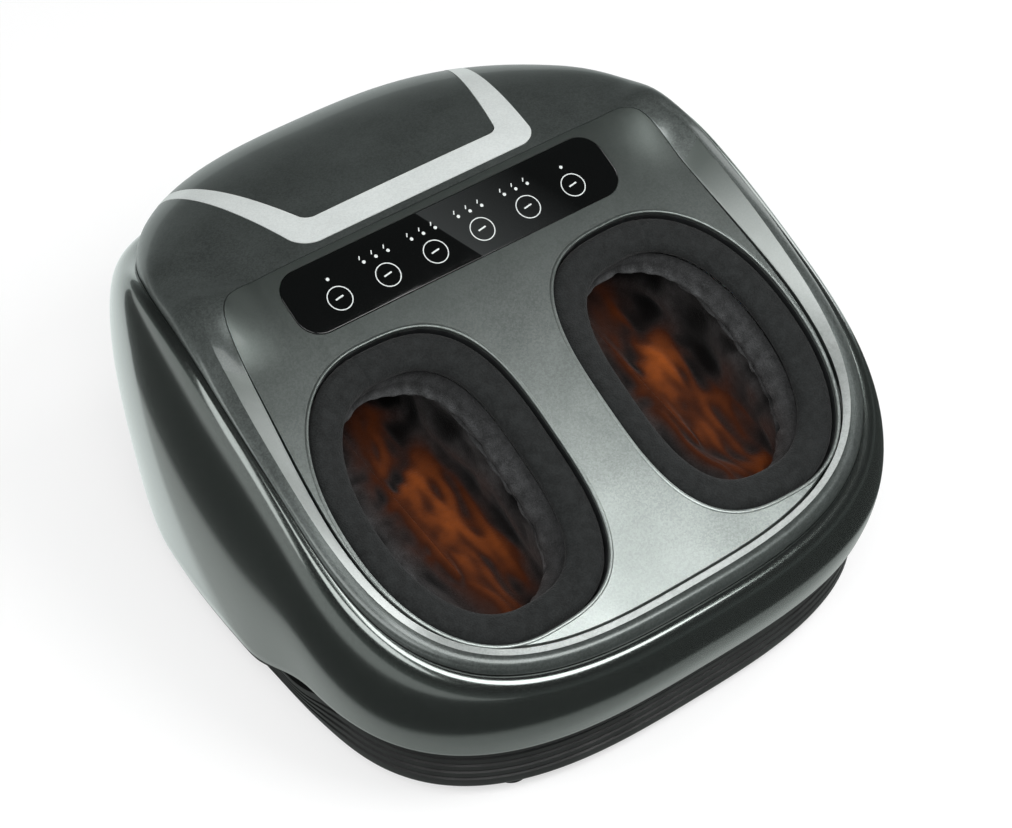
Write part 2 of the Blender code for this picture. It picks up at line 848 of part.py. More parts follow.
def make_shaft(material):
    profile = [(shaft_radius, -shaft_half_length), (shaft_radius, shaft_half_length)]
    shaft = turned("cross_shaft", profile, material=material, sides=12)
    shaft.matrix_world = shaft_frame()
    return shaft


def make_worm(side, material):
    """A worm whose thread is a ridge wound round the core, mirrored from side to side."""
    root = worm_radius - thread_depth_share * worm_pitch / math.pi
    tip = worm_radius + thread_rise_share * worm_pitch / math.pi
    rows = 6 * worm_pitches
    length = worm_pitches * worm_pitch
    rings = []
    for row in range(rows + 1):
        at = row / rows * worm_pitches
        ring = []
        for k in range(fine):
            turn = k / fine
            away = 0.5 - abs((at - worm_pitches / 2 + side * (turn - 0.75)) % 1 - 0.5)
            ridge = (away - 0.5 + thread_foot_share) / (thread_foot_share - thread_top_share)
            ridge = min(max(ridge, 0), 1)
            radius = root + (tip - root) * ridge * smooth_step(min(row, rows - row), 0, 3)
            angle = math.tau * turn
            height = (row / rows - 0.5) * length
            ring.append(Vector((radius * math.cos(angle), radius * math.sin(angle), height)))
        rings.append(ring)
    bore = shaft_radius + running_gap
    for height in (length / 2, -length / 2):
        angle_ring = [math.tau * k / fine for k in range(fine)]
        rings.append([Vector((bore * math.cos(a), bore * math.sin(a), height)) for a in angle_ring])
    worm = loft(f"{side_name(side)}_worm", rings, material, closed=True, sharp=math.radians(60))
    worm.matrix_world = shaft_frame(side * opening_x)
    return worm


def make_motor(material):
    step = motor_radius / 3
    outer = [(2 * step, -motor_half_length), (motor_radius, step - motor_half_length)]
    outer += [(motor_radius, motor_half_length - step), (2 * step, motor_half_length)]
    bore = shaft_radius + running_gap
    profile = outer + [(bore, motor_half_length), (bore, -motor_half_length)]
    return turned("kneading_motor", profile, shaft_frame(), material, 20, bored=True)


def make_bearing(side, material):
    """A pillow block standing on the chassis round the shaft's end."""
    centre_x = side * bearing_x
    foot = -chassis_drop - shaft_up + seam
    size = Vector((bearing_size.x, bearing_size.y, bearing_size.z - foot))
    place = sole_frame(centre_x, shaft_along, shaft_up)
    name = f"{side_name(side)}_bearing_block"
    bearing = block(name, size, (0, 0, (foot + bearing_size.z) / 2), place, material)
    reach, place = bearing_size.x, shaft_frame(centre_x)
    return cut(bearing, cylinder(f"{name}_bore", shaft_radius + running_gap, -reach, reach, place))


def make_motor_mount(material):
    """A strap over the motor, its feet on the chassis."""
    foot = -chassis_drop - shaft_up + seam
    top = motor_radius + strap_wall
    size = Vector((strap_width, 2 * motor_radius + 4 * strap_wall, top - foot))
    place = sole_frame(0, shaft_along, shaft_up)
    mount = block("motor_mount", size, (0, 0, (foot + top) / 2), place, material)
    reach = motor_half_length
    seat = cylinder("motor_seat", motor_radius + seam, -reach, reach, shaft_frame(), sides=20)
    return cut(mount, seat)


def make_chassis(material):
    """The plate under the wheels, with legs to the tray and posts to the sole plates."""
    half_x = opening_x + sole_half_width
    rear = shaft_along + motor_radius + chassis_margin
    size = Vector((2 * half_x, rear - chassis_front, chassis_wall))
    middle = -chassis_drop - chassis_wall / 2
    place = sole_frame(0, (rear + chassis_front) / 2, middle)
    chassis = block("gear_chassis", size, (0, 0, 0), place, material, chassis_wall)
    drop = chassis_drop + shaft_up
    window = Vector((2 * motor_half_length + strap_wall, 0, overrun))
    window.y = 2 * math.sqrt(motor_radius**2 - drop**2) + strap_wall
    place = sole_frame(0, shaft_along, -chassis_drop)
    cut(chassis, block("motor_window", window, (0, 0, 0), place, chamfer_share=0.1))
    pieces = []
    for side in (-1, 1):
        for k, share in enumerate(leg_shares):
            foot = sole_point(side * (half_x - 2 * post_radius), chassis_front + size.y * share, middle)
            at = Matrix.Translation((foot.x, foot.y, 0))
            pieces.append(cylinder(f"leg_{side}_{k}", post_radius, floor_z + seam, foot.z, at, sides=10))
        for out in (-1, 1):
            x = side * opening_x + out * (wheel_radius + post_radius)
            place = sole_frame(x, ball_along - wheel_radius)
            name = f"post_{side}_{out}"
            pieces.append(cylinder(name, post_radius, middle, -sole_wall - seam, place, sides=10))
    return join(chassis, pieces)


def make_airbag(side, inner, material):
    """An air cushion lying along the tub's side wall, thin at its welded edge."""
    skins = [offset(well_rings(side), -well_wall - liner_gap * share) for share in (0, 1)]
    middle = 0 if (side > 0) != inner else well_around // 2
    reach = well_around // 9
    sections = []
    for step in range(-reach, reach + 1):
        j = middle + step
        swell = math.sqrt(1 - (step / (reach + 1)) ** 2)
        section = []
        for depth, heights in ((0.5, (0, 1, 2, 3, 4)), (-0.5, (3, 2, 1))):
            for height in heights:
                low, up = divmod(1 + swell * (height / 2 - 1), 1)
                low, up = (0, 1.0) if low < 0 else (int(min(low, 1)), up + (low > 1))
                full = max(math.sin(math.pi * height / 4), 0.12) * swell * airbag_thickness / liner_gap
                wall, cloth = [rings[low + 1][j].lerp(rings[low + 2][j], up) for rings in skins]
                section.append(wall.lerp(cloth, 0.5 - depth * full))
        sections.append(section)
    name = f"{side_name(side)}_{'inner' if inner else 'outer'}_airbag"
    return loft(name, sections[::-1], material, sharp=math.radians(60))


def make_heater(side, material):
    along = (ball_along + disc_radius + sole_length) / 2
    place = sole_frame(side * opening_x, along, seam + heater_size.z / 2)
    return block(f"{side_name(side)}_heat_lamp", heater_size, (0, 0, 0), place, material, 0.3)


def make_touch_board(material):
    size = Vector((2 * panel_half_width, panel_depth * 0.9, board_wall))
    place = deck_frame(0, panel_along, -plate_wall - seam - board_wall / 2)
    return block("touch_board", size, (0, 0, 0), place, material, 0.1)


def make_power_board(material):
    """A board on four standoffs with its transformer, heat sink and capacitor."""
    centre = Vector((power_x, outline_y + service_y, floor_z + power_lift))
    board = block("power_board", power_size, centre, Matrix(), material, 0.1)
    pieces = []
    for name, size, x_share, y_share in (
        ("transformer", transformer_size, -0.24, 0.18),
        ("heat_sink", sink_size, 0.13, 0.11),
    ):
        at = centre + Vector((power_size.x * x_share, power_size.y * y_share, size.z / 2))
        pieces.append(block(name, size, at, chamfer_share=0.1))
    at = Matrix.Translation(centre + Vector((power_size.x * 0.34, power_size.y * 0.18, 0)))
    pieces.append(cylinder("capacitor", capacitor_radius, 0, capacitor_height, at))
    half_x, half_y = power_size.x / 2 - 2 * standoff_radius, power_size.y / 2 - 2 * standoff_radius
    for x in (-1, 1):
        for y in (-1, 1):
            at = Matrix.Translation(centre + Vector((x * half_x, y * half_y, 0)))
            pieces.append(cylinder(f"standoff_{x}_{y}", standoff_radius, seam - power_lift, 0, at, sides=8))
    return join(board, pieces)


def make_hose(name, route, material):
    """An air hose along a smooth curve through its route's points."""
    curve = bpy.data.curves.new(name, "CURVE")
    curve.dimensions = "3D"
    curve.bevel_depth = hose_radius
    curve.bevel_resolution = 1
    curve.use_fill_caps = True
    points = [2 * route[0] - route[1], *route, 2 * route[-1] - route[-2]]
    smooth = []
    for a, b, c, d in zip(points, points[1:], points[2:], points[3:]):
        for k in range(3):
            t = k / 3
            bend = (2 * a - 5 * b + 4 * c - d) * t**2 + (3 * b - a - 3 * c + d) * t**3
            smooth.append(b + ((c - a) * t + bend) / 2)
    smooth.append(route[-1])
    spline = curve.splines.new("POLY")
    spline.points.add(len(smooth) - 1)
    for point, place in zip(spline.points, smooth):
        point.co = (*place, 1)
    curve.materials.append(material)
    hose = bpy.data.objects.new(name, curve)
    bpy.context.scene.collection.objects.link(hose)
    return hose


def make_inlet(material):
    """The mains socket in the tray's rear wall, with a shrouded recess and two pins."""
    wall_y = outline_y + flank_rear - tray_inset
    centre = Vector((0, wall_y - inlet_size.y / 2 - seam, inlet_z))
    inlet = block("power_inlet", inlet_size, centre, Matrix(), material, 0.01)
    hollow = Vector((inlet_size.x - 2 * inlet_wall, inlet_size.y, inlet_size.z - 2 * inlet_wall))
    recess = block("inlet_recess", hollow, centre + Vector((0, inlet_size.y / 3, 0)), chamfer_share=0.2)
    return cut(inlet, recess)


def make_feet(material):
    """Six rubber feet set in from the tray's edge."""
    for end, angle in zip(("front", "middle", "rear"), foot_angles):
        for side in (-1, 1):
            place = flank_plan(angle, foot_inset)
            at = Matrix.Translation((side * abs(place.x), place.y, 0))
            profile = [(foot_radius - seam, 0), (foot_radius, seam), (foot_radius, foot_height - seam)]
            turned(f"{end}_{side_name(side)}_foot", profile, at, material, 16)


def make_air_system(case_material, hose_material):
    """Pump, valve block and their hoses; one hose ends at the toe of each tub."""
    pump_at = Vector((pump_x, outline_y + service_y, floor_z + seam + pump_size.z / 2))
    valve_at = Vector((valve_x, outline_y + service_y, floor_z + seam + valve_size.z / 2))
    block("air_pump", pump_size, pump_at, Matrix(), case_material)
    block("valve_block", valve_size, valve_at, Matrix(), case_material)
    straight = Vector((2 * hose_radius, 0, 0))
    pump_end = Vector((pump_x - pump_size.x / 2 - seam, pump_at.y, valve_at.z))
    valve_end = Vector((valve_x + valve_size.x / 2 + seam, pump_at.y, valve_at.z))
    make_hose("pump_hose", [pump_end, pump_end - straight, valve_end + straight, valve_end], hose_material)
    top = valve_at.z + valve_size.z / 2 + seam
    for side in (-1, 1):
        rings = well_rings(side)
        toe = well_around // 4
        end = rings[0][toe].lerp(rings[1][toe], 0.7) + Vector((0, 3 * seam, 0))
        start = Vector((valve_x + side * valve_size.x / 4, valve_at.y, top))
        lead = Vector((0, 2 * hose_radius, 0))
        rise = Vector((0, 0, 2 * hose_radius))
        middle = (start + end) / 2 + 2 * lead + 2 * rise - side * straight
        route = [start, start + rise, start + 2 * rise, middle, end + 2 * lead, end + lead, end]
        make_hose(f"{side_name(side)}_air_hose", route, hose_material)


def build():
    clear_scene()
    gunmetal = finish_colour("gunmetal_gloss", (0.045, 0.05, 0.048), 0.22, 0.5)
    cover_metal = finish_colour("cover_metallic", (0.10, 0.11, 0.105), 0.35, 0.6)
    plate_metal = finish_colour("plate_metallic", (0.30, 0.33, 0.32), 0.35, 0.8)
    silver = finish_colour("stripe_silver", (0.68, 0.71, 0.70), 0.3, 0.6)
    black_gloss = finish_colour("panel_black", (0.01, 0.01, 0.01), 0.08)
    black = finish_colour("base_black", (0.015, 0.016, 0.016), 0.45)
    rubber = finish_colour("foot_rubber", (0.02, 0.02, 0.02), 0.8)
    tub = finish_colour("tub_plastic", (0.05, 0.05, 0.05), 0.5)
    padding = finish_colour("collar_fabric", (0.03, 0.031, 0.031), 0.9)
    glowing = finish_colour("liner_fabric", (0.10, 0.03, 0.01), 0.9)
    nylon = finish_colour("wheel_nylon", (0.75, 0.74, 0.70), 0.45)
    rubbery = finish_colour("head_plastic", (0.12, 0.12, 0.13), 0.5)
    steel = finish_colour("steel", (0.55, 0.56, 0.57), 0.3, 1.0)
    brass = finish_colour("worm_brass", (0.60, 0.45, 0.20), 0.3, 1.0)
    zinc = finish_colour("chassis_steel", (0.40, 0.41, 0.42), 0.4, 1.0)
    vinyl = finish_colour("airbag_vinyl", (0.20, 0.21, 0.22), 0.5)
    green = finish_colour("board_green", (0.02, 0.12, 0.05), 0.5)
    lamp = finish_colour("lamp_orange", (0.90, 0.25, 0.03), 0.3)
    hose = finish_colour("hose_silicone", (0.70, 0.70, 0.68), 0.6)

    make_base_tray(black)
    make_feet(rubber)
    make_flank(gunmetal)
    make_top_cover(cover_metal)
    make_stripe(silver)
    make_rear_cap(cover_metal)
    make_face_plate(plate_metal)
    panel_prism("control_lens", -plate_wall + 2 * seam, lens_proud, 0, black_gloss)
    make_touch_board(green)
    for side in (-1, 1):
        make_well(side, tub)
        make_collar(side, padding)
        make_liner(side, glowing)
        make_sole_plate(side, tub)
        make_heater(side, lamp)
        make_worm(side, brass)
        make_bearing(side, zinc)
        for where, along in wheel_places():
            make_wheel(side, where, along, nylon)
            make_disc(side, where, along, rubbery)
            make_axle(side, where, along, steel)
        for inner in (True, False):
            make_airbag(side, inner, vinyl)
    make_chassis(zinc)
    make_shaft(steel)
    make_motor(steel)
    make_motor_mount(zinc)
    make_power_board(green)
    make_inlet(black)
    make_air_system(tub, hose)


build()
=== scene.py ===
import math

import bpy
import numpy as np
from mathutils import Matrix, Vector, noise as lumps


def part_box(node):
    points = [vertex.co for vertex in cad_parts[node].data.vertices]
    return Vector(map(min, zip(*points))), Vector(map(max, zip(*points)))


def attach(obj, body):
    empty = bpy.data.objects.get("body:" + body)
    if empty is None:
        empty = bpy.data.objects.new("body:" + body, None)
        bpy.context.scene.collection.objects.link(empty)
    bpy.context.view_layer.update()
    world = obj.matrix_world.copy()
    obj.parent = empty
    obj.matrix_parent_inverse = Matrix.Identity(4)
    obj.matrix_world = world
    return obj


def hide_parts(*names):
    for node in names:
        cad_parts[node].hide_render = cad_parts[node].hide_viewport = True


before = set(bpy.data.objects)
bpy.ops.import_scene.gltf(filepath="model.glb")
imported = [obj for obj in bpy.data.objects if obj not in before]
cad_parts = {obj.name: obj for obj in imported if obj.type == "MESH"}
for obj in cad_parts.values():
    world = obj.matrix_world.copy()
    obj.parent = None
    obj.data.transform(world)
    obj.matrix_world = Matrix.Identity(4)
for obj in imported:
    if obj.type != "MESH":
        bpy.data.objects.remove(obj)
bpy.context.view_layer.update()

bl_info = {
    "name": "Foot massager",
    "version": (1, 0, 0),
    "blender": (4, 5, 0),
    "location": "3D View > Sidebar > Massager",
    "description": "Dresses the packed foot massager in its moulded shells, fabric and finishes",
    "category": "Object",
}

# Sizes of the solids that the pieces below follow, in metres
deck_slope = math.radians(25.2)
deck_y, deck_z = -0.0993, 0.155
opening_x, opening_half_width, opening_half_length = 0.0925, 0.073, 0.0995
panel_half_width, panel_half_depth, panel_corner, panel_along = 0.1175, 0.02175, 0.015, 0.13725
outline_y = -0.0743
plate_front, plate_rear = -0.20155, 0.04774
cover_reach = (0.171, 0.12925, 0.12404)
parting_reach = (0.1866, 0.14005, 0.28854)
flank_reach = (0.1966, 0.14805, 0.29684)
front_power, plate_front_power = 2.92, 3.1
rear_power, flank_rear_power, plate_rear_power, plate_taper = 2.85, 3.17, 12.0, 0.075
groove, seam, shell_wall, plate_wall = 0.002, 0.0003, 0.0026, 0.003
roll_y, roll_radius, fall_share = 0.0029, 0.1226, 0.557
parting_drop, parting_swell, swell_low, swell_peak, swell_high = 0.0038, 0.0083, -0.2, -0.05, 0.1
crown, crown_angle, rim_angle, hump_angle = 0.0013, math.radians(50), math.radians(65), math.radians(50)
crest_share, crest_height, crest_ring = (0.66, 0.42), (0.0016, 0.0085), 0.62  # in front, at the sides
lip_front, lip_depth, dish_rise = 0.0012, 0.007, 0.007
flank_z, flank_bulge, shoulder_power, shoulder_root = 0.050, 0.0053, 9.0, 1 / 2.7
skirt_y, skirt_drop, skirt_half_length, skirt_ramp, ramp_gap = 0.025, 0.029, 0.125, 0.075, 0.0013
grip_y, grip_half_length, grip_height, grip_depth = -0.0803, 0.045, 0.014, 0.016
foot_height, tray_inset, tray_flange, tray_rim_z = 0.006, 0.008, 0.0037, 0.064
stripe_front_y, stripe_half_width, stripe_flare_share, stripe_corner = 0.05554, 0.0868, 0.2125, 0.016
cap_front_y, cap_half_width, cap_flare_share, cap_corner = 0.07684, 0.0703, 0.325, 0.008
sole_slope, sole_length, sole_half_width = math.radians(9.3), 0.298, 0.058
heel_setback, heel_depth, chamber_height = 0.0795, 0.105, 0.100
# Rings of a foot chamber from the sole upwards: its heel and toe as shares of the sole's length and the chamber's
# height, and how far it has widened to the mouth
chamber_shares = (
    (-0.012, 0.21, 1.026, 0.36, 0.27),
    (-0.013, 0.29, 0.979, 0.74, 0.40),
    (-0.007, 0.36, 0.856, 0.97, 0.60),
)
collar_width, collar_height, collar_sink, collar_gap = 0.0205, 0.0145, 0.001, 0.0005
key_pitch, key_row, dot_row, dot_pitch = 0.0345, 0.1314, 0.0137, 0.0087

parting_gap = 0.0005
dome_power, dome_root = 2.2, 1 / 2.7
dish_margin, dish_start = 0.005, 0.0055  # beside the panel, and in front of it
outer_power, divider_power = 2.2, 3.0  # of an opening's outline
prism_low, prism_high = 0.02, 0.30  # levels that a cutter through the hump spans

# Counts of points: round a shell, round an opening in the plate, and round a collar
around, opening_points, collar_points = 288, 160, 200
KEYS, CASE = 6, "case"


def linear(code):
    """An sRGB hex colour as the linear red, green, blue and alpha that shaders take."""
    parts = [int(code[k:k + 2], 16) / 255 for k in (0, 2, 4)]
    return (*(v / 12.92 if v <= 0.04045 else ((v + 0.055) / 1.055) ** 2.4 for v in parts), 1.0)


# Forms: the outlines and heights that the shells share


def smooth_step(value, low, high):
    """From 0 at low to 1 at high, with level ends."""
    share = np.clip((value - low) / (high - low), 0, 1)
    return share * share * (3 - 2 * share)


def turn_angles(count=around):
    return (np.arange(count) + 0.5) * math.tau / count


def outline(angle, reach, power_rear, inset=0.0, power_front=front_power):
    """The plan outline in this direction, as x and y."""
    half, front, rear = (r - inset for r in reach)
    c, s = np.cos(angle), np.sin(angle)
    length, power = np.where(s > 0, rear, front), np.where(s > 0, power_rear, power_front)
    radius = (np.abs(c / half) ** power + np.abs(s / length) ** power) ** (-1 / power)
    return radius * c, outline_y + radius * s


def plate_plan(angle, inset=0.0):
    x, y = outline(angle, cover_reach, plate_rear_power, inset, plate_front_power)
    return x * (1 - plate_taper * smooth_step(y, deck_y, plate_rear)), y


def plate_edge(angle):
    """The plate's edge: a groove inside the rim in front, a seam inside it elsewhere."""
    ahead = 1 - smooth_step(plate_plan(angle)[1], deck_y, deck_y + panel_along)
    return plate_plan(angle, seam + (groove - seam) * ahead)


def deck_height(y):
    """The sloping deck's height."""
    return deck_z + (y - deck_y) * math.tan(deck_slope)


def parting_height(y):
    """Height of the line where cover and flank meet: it follows the deck and rolls over behind."""
    tilt = math.tan(deck_slope)
    fall_y = roll_y + roll_radius * (tilt + fall_share)
    rolled = np.clip(y - roll_y, 0, fall_y - roll_y)
    height = deck_height(np.minimum(y, roll_y)) - parting_drop + rolled * tilt - rolled ** 2 / (2 * roll_radius)
    swelling = smooth_step(y, swell_low, swell_peak) * (1 - smooth_step(y, swell_peak, swell_high))
    return height + parting_swell * swelling - np.maximum(y - fall_y, 0) * fall_share


def dish_height(x, y):
    """How far the plate and the rim's inner edge rise over the deck in the corners by the panel."""
    along = (y - deck_y) / math.cos(deck_slope)
    beside = smooth_step(np.abs(x), panel_half_width + dish_margin, cover_reach[0] * (1 - plate_taper))
    low, high = panel_along - panel_half_depth - dish_start, panel_along + panel_half_depth
    return dish_rise * beside * smooth_step(along, low, high)


def dome(share):
    """How high the hump stands at this share of the way in from the parting line."""
    return (1 - (1 - share) ** dome_power) ** dome_root


def cover_point(angle, ring, lift=0.0):
    """The cover's outer skin from the parting line (ring 0) over the rim's crest to the plate's edge (1)."""
    (x0, y0), (x1, y1) = outline(angle, parting_reach, rear_power), plate_plan(angle)
    side = smooth_step(y1, plate_front, deck_y + opening_half_width)
    off_axis = np.abs(np.arctan2(np.abs(x0), y0 - outline_y))
    humped = 1 - smooth_step(off_axis, hump_angle, rim_angle)
    crest = crest_share[0] + (crest_share[1] - crest_share[0]) * side
    crest = crest + (crest_ring - crest) * humped
    outside = ring < crest_ring
    share = crest * ring / crest_ring if outside else crest + (1 - crest) * (ring - crest_ring) / (1 - crest_ring)
    x, y = x0 + (x1 - x0) * share, y0 + (y1 - y0) * share
    low = parting_height(y0) + parting_gap
    high = deck_height(y1) + dish_height(x1, y1) + lip_front * (1 - side)
    crowned = np.cos(np.minimum(off_axis / crown_angle, 1) * math.pi / 2) ** 2
    hump = low + (high - low) * dome(share) + crown * crowned * 4 * share * (1 - share)
    top = deck_height(y0 + (y1 - y0) * crest) + crest_height[0] + (crest_height[1] - crest_height[0]) * side
    if outside:
        rim = low + (top - low) * dome(np.minimum(share / crest, 1))
    else:
        rim = top + (high - top) * (share - crest) / (1 - crest)
    return np.stack(np.broadcast_arrays(x, y, rim + (hump - rim) * humped + lift), axis=-1)


def grip_share(x, y):
    """How deep the hand grips' hollows are here, from 0 to 1."""
    away = np.minimum(np.abs(y - grip_y) / grip_half_length, 1)
    return np.where(np.abs(x) < parting_reach[0] - grip_half_length, 0, np.cos(away * math.pi / 2) ** 2)


def flank_low(y):
    """Height of the flank's lower edge, which hangs as a skirt along the sides."""
    return flank_z - skirt_drop * smooth_step(skirt_half_length - np.abs(y - skirt_y), 0, skirt_ramp)


def flank_point(angle, share):
    """The flank's outer skin from its lower edge (share 0) to the parting line (1)."""
    (x0, y0), (x1, y1) = outline(angle, flank_reach, flank_rear_power), outline(angle, parting_reach, rear_power)
    out = np.stack([x0, y0 - outline_y]) / np.hypot(x0, y0 - outline_y)
    bulge = flank_bulge * np.sin(math.pi * share)
    inwards = 1 - (1 - share ** shoulder_power) ** shoulder_root
    x, y = x0 + (x1 - x0) * inwards + out[0] * bulge, y0 + (y1 - y0) * inwards + out[1] * bulge
    low = flank_low(y0)
    z = low + (parting_height(y1) - low) * share
    return np.stack(np.broadcast_arrays(x, y, z), axis=-1)


def deck_points(x, along, up):
    """Points given up the deck from the openings' middle, and over it."""
    c, s = math.cos(deck_slope), math.sin(deck_slope)
    x, along, up = np.broadcast_arrays(x, along, up)
    return np.stack([x, deck_y + along * c - up * s, deck_z + along * s + up * c], axis=-1)


def sole_points(x, along, up):
    """Points given along a sole plate from its heel, and over it."""
    c, s = math.cos(sole_slope), math.sin(sole_slope)
    x, along, up = np.broadcast_arrays(x, along, up)
    y = deck_y - heel_setback + along * c - up * s
    return np.stack([x, y, deck_z - heel_depth + along * s + up * c], axis=-1)


def d_outline(side, angle, half_width, half_length):
    """The opening's outline: squarer towards the divider, rounder outwards."""
    c, s = np.cos(angle), np.sin(angle)
    power = np.where(c * side > 0, outer_power, divider_power)
    radius = (np.abs(c) ** power + np.abs(s) ** power) ** (-1 / power)
    return half_width * radius * c, half_length * radius * s


def opening_row(side, inset, up, count):
    """A ring of points inside an opening's edge, over or under the deck."""
    angle = np.arange(count) * math.tau / count
    x, along = d_outline(side, angle, opening_half_width - inset, opening_half_length - inset)
    return deck_points(side * opening_x + x, along, up)


# Modelling steps


def deselect():
    bpy.ops.object.select_all(action="DESELECT")


def pick(piece):
    """Selects this piece alone."""
    deselect()
    bpy.context.view_layer.objects.active = piece
    piece.select_set(True)


def points_of(piece):
    place = np.empty(len(piece.data.vertices) * 3)
    piece.data.vertices.foreach_get("co", place)
    return place.reshape(-1, 3)


def lay_points(piece, place):
    piece.data.vertices.foreach_set("co", np.asarray(place).ravel())
    piece.data.update()


def edit(piece, *steps):
    """Runs mesh operators in edit mode on all of the piece."""
    pick(piece)
    bpy.ops.object.mode_set(mode="EDIT")
    bpy.ops.mesh.select_all(action="SELECT")
    for step, settings in steps:
        getattr(bpy.ops.mesh, step)(**settings)
    bpy.ops.object.mode_set(mode="OBJECT")
    return piece


def skin(name, rows, round_rows=False, round_columns=True):
    """A grid primitive laid over rows of points, and closed where it comes round."""
    rows = np.asarray(rows, dtype=float)
    if round_columns:
        rows = np.concatenate([rows, rows[:, :1]], axis=1)
    if round_rows:
        rows = np.concatenate([rows, rows[:1]], axis=0)
    deselect()
    bpy.ops.mesh.primitive_grid_add(x_subdivisions=rows.shape[1] - 1, y_subdivisions=rows.shape[0] - 1, size=1)
    piece = bpy.context.object
    piece.name = piece.data.name = name
    lay_points(piece, rows)
    return edit(piece, ("remove_doubles", {"threshold": 1e-6}), ("normals_make_consistent", {"inside": False}))


def apply(piece, kind, **settings):
    """Adds a modifier with its settings and applies it."""
    modifier = piece.modifiers.new(kind.lower(), kind)
    for name, value in settings.items():
        setattr(modifier, name, value)
    pick(piece)
    bpy.ops.object.modifier_apply(modifier=modifier.name)
    return piece


def carve(piece, cutter, operation="DIFFERENCE"):
    """Cuts a piece with another, which is used up."""
    apply(piece, "BOOLEAN", operation=operation, solver="EXACT", object=cutter)
    bpy.data.objects.remove(cutter)
    return piece


def round_edges(piece, width, segments=3, angle=50):
    """Bevels the edges that are sharper than an angle."""
    limit = math.radians(angle)
    return apply(piece, "BEVEL", width=width, segments=segments, limit_method="ANGLE", angle_limit=limit)


def smooth(piece, angle=35):
    pick(piece)
    bpy.ops.object.shade_smooth_by_angle(angle=math.radians(angle))
    return piece


def join(name, pieces):
    deselect()
    for piece in pieces:
        piece.select_set(True)
    bpy.context.view_layer.objects.active = pieces[0]
    bpy.ops.object.join()
    pieces[0].name = pieces[0].data.name = name
    return pieces[0]


def hand_over(piece, material, slot, *nodes, body=CASE):
    """Gives a finished piece its material and body, and hides the solids that it stands for. The slot is not used."""
    piece.data.materials.clear()
    piece.data.materials.append(material)
    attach(piece, body)
    if nodes:
        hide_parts(*nodes)
    return piece


def turned(name, profile, place, count=48):
    """A closed profile of (radius, height) pairs turned round the place's Z axis."""
    angle = np.arange(count) * math.tau / count
    rows = []
    for radius, height in profile:
        ring = np.stack([radius * np.cos(angle), radius * np.sin(angle), np.full(count, height)], axis=-1)
        rows.append([place @ Vector(point) for point in ring])
    return skin(name, rows, round_rows=True)


def deck_place(x, along, up=0.0):
    """A place on the deck, turned with its slope."""
    point = Vector(deck_points(x, along, up))
    return Matrix.Translation(point) @ Matrix.Rotation(deck_slope, 4, "X")


def rounded_box(name, size, place, radius, segments=3):
    """A box with its edges rolled over, at its place."""
    deselect()
    bpy.ops.mesh.primitive_cube_add(size=1)
    box = bpy.context.object
    box.name = box.data.name = name
    box.data.transform(place @ Matrix.Diagonal((*size, 1)))
    edit(box, ("bevel", {"offset": radius, "segments": segments, "affect": "EDGES"}))
    return box


# Cloth

cloth_frames, cloth_mass, cloth_stiffness, cloth_bending = 22, 0.12, 8.0, 0.05


def press_out(piece, held, pressure, cap):
    """Presses a padded piece out with Blender's Cloth and applies it. The held points stay, and none moves past cap."""
    start = points_of(piece)
    group = piece.vertex_groups.new(name="held")
    group.add([int(k) for k in np.nonzero(held)[0]], 1.0, "REPLACE")
    cloth = piece.modifiers.new("cloth", "CLOTH")
    weave = cloth.settings
    weave.quality, weave.mass, weave.air_damping = 7, cloth_mass, 2.0
    weave.tension_stiffness = weave.compression_stiffness = cloth_stiffness
    weave.shear_stiffness, weave.bending_stiffness = cloth_stiffness / 2, cloth_bending
    weave.effector_weights.gravity = 0.0
    weave.vertex_group_mass, weave.pin_stiffness = "held", 5.0
    weave.use_pressure, weave.uniform_pressure_force = True, pressure
    cloth.collision_settings.use_collision = False
    for frame_number in range(1, cloth_frames + 1):
        bpy.context.scene.frame_set(frame_number)
    pick(piece)
    bpy.ops.object.modifier_apply(modifier=cloth.name)
    bpy.context.scene.frame_set(1)
    moved = points_of(piece) - start
    length = np.linalg.norm(moved, axis=-1, keepdims=True)
    lay_points(piece, start + moved * np.minimum(1, cap / np.maximum(length, 1e-9)))
    return piece


# Materials


def add_node(material, kind, settings=None, **inputs):
    """Adds a node, sets its properties, and fills its sockets, by name or by _number, with values or links."""
    tree = material.node_tree
    node = tree.nodes.new(kind)
    for name, value in (settings or {}).items():
        setattr(node, name, value)
    for name, value in inputs.items():
        socket = node.inputs[int(name[1:])] if name[0] == "_" else node.inputs[name.replace("_", " ")]
        if isinstance(value, bpy.types.NodeSocket):
            tree.links.new(value, socket)
        else:
            socket.default_value = value
    return node


def new_material(name, **shader_values):
    """A material with its Principled shader's own values, and Object coordinates to draw on."""
    made = bpy.data.materials.new(name)
    made.use_nodes = True
    shader = made.node_tree.nodes["Principled BSDF"]
    for key, value in shader_values.items():
        shader.inputs[key.replace("_", " ")].default_value = value
    place = add_node(made, "ShaderNodeTexCoord").outputs["Object"]
    return made, shader, place


def link(material, output, shader, socket):
    material.node_tree.links.new(output, shader.inputs[socket])


# Kinds of node and their settings. Colours go into a Mix node's sockets 6 and 7 and leave by output 2
MIX, MIX_RGBA, MIXED = "ShaderNodeMix", {"data_type": "RGBA"}, 2
RANGE, NOISE, BUMP, MATH = "ShaderNodeMapRange", "ShaderNodeTexNoise", "ShaderNodeBump", "ShaderNodeMath"
CELLS, PARTS, ATTRIBUTE = "ShaderNodeTexVoronoi", "ShaderNodeSeparateXYZ", "ShaderNodeAttribute"
TIMES, TIMES_PLUS = {"operation": "MULTIPLY"}, {"operation": "MULTIPLY_ADD"}

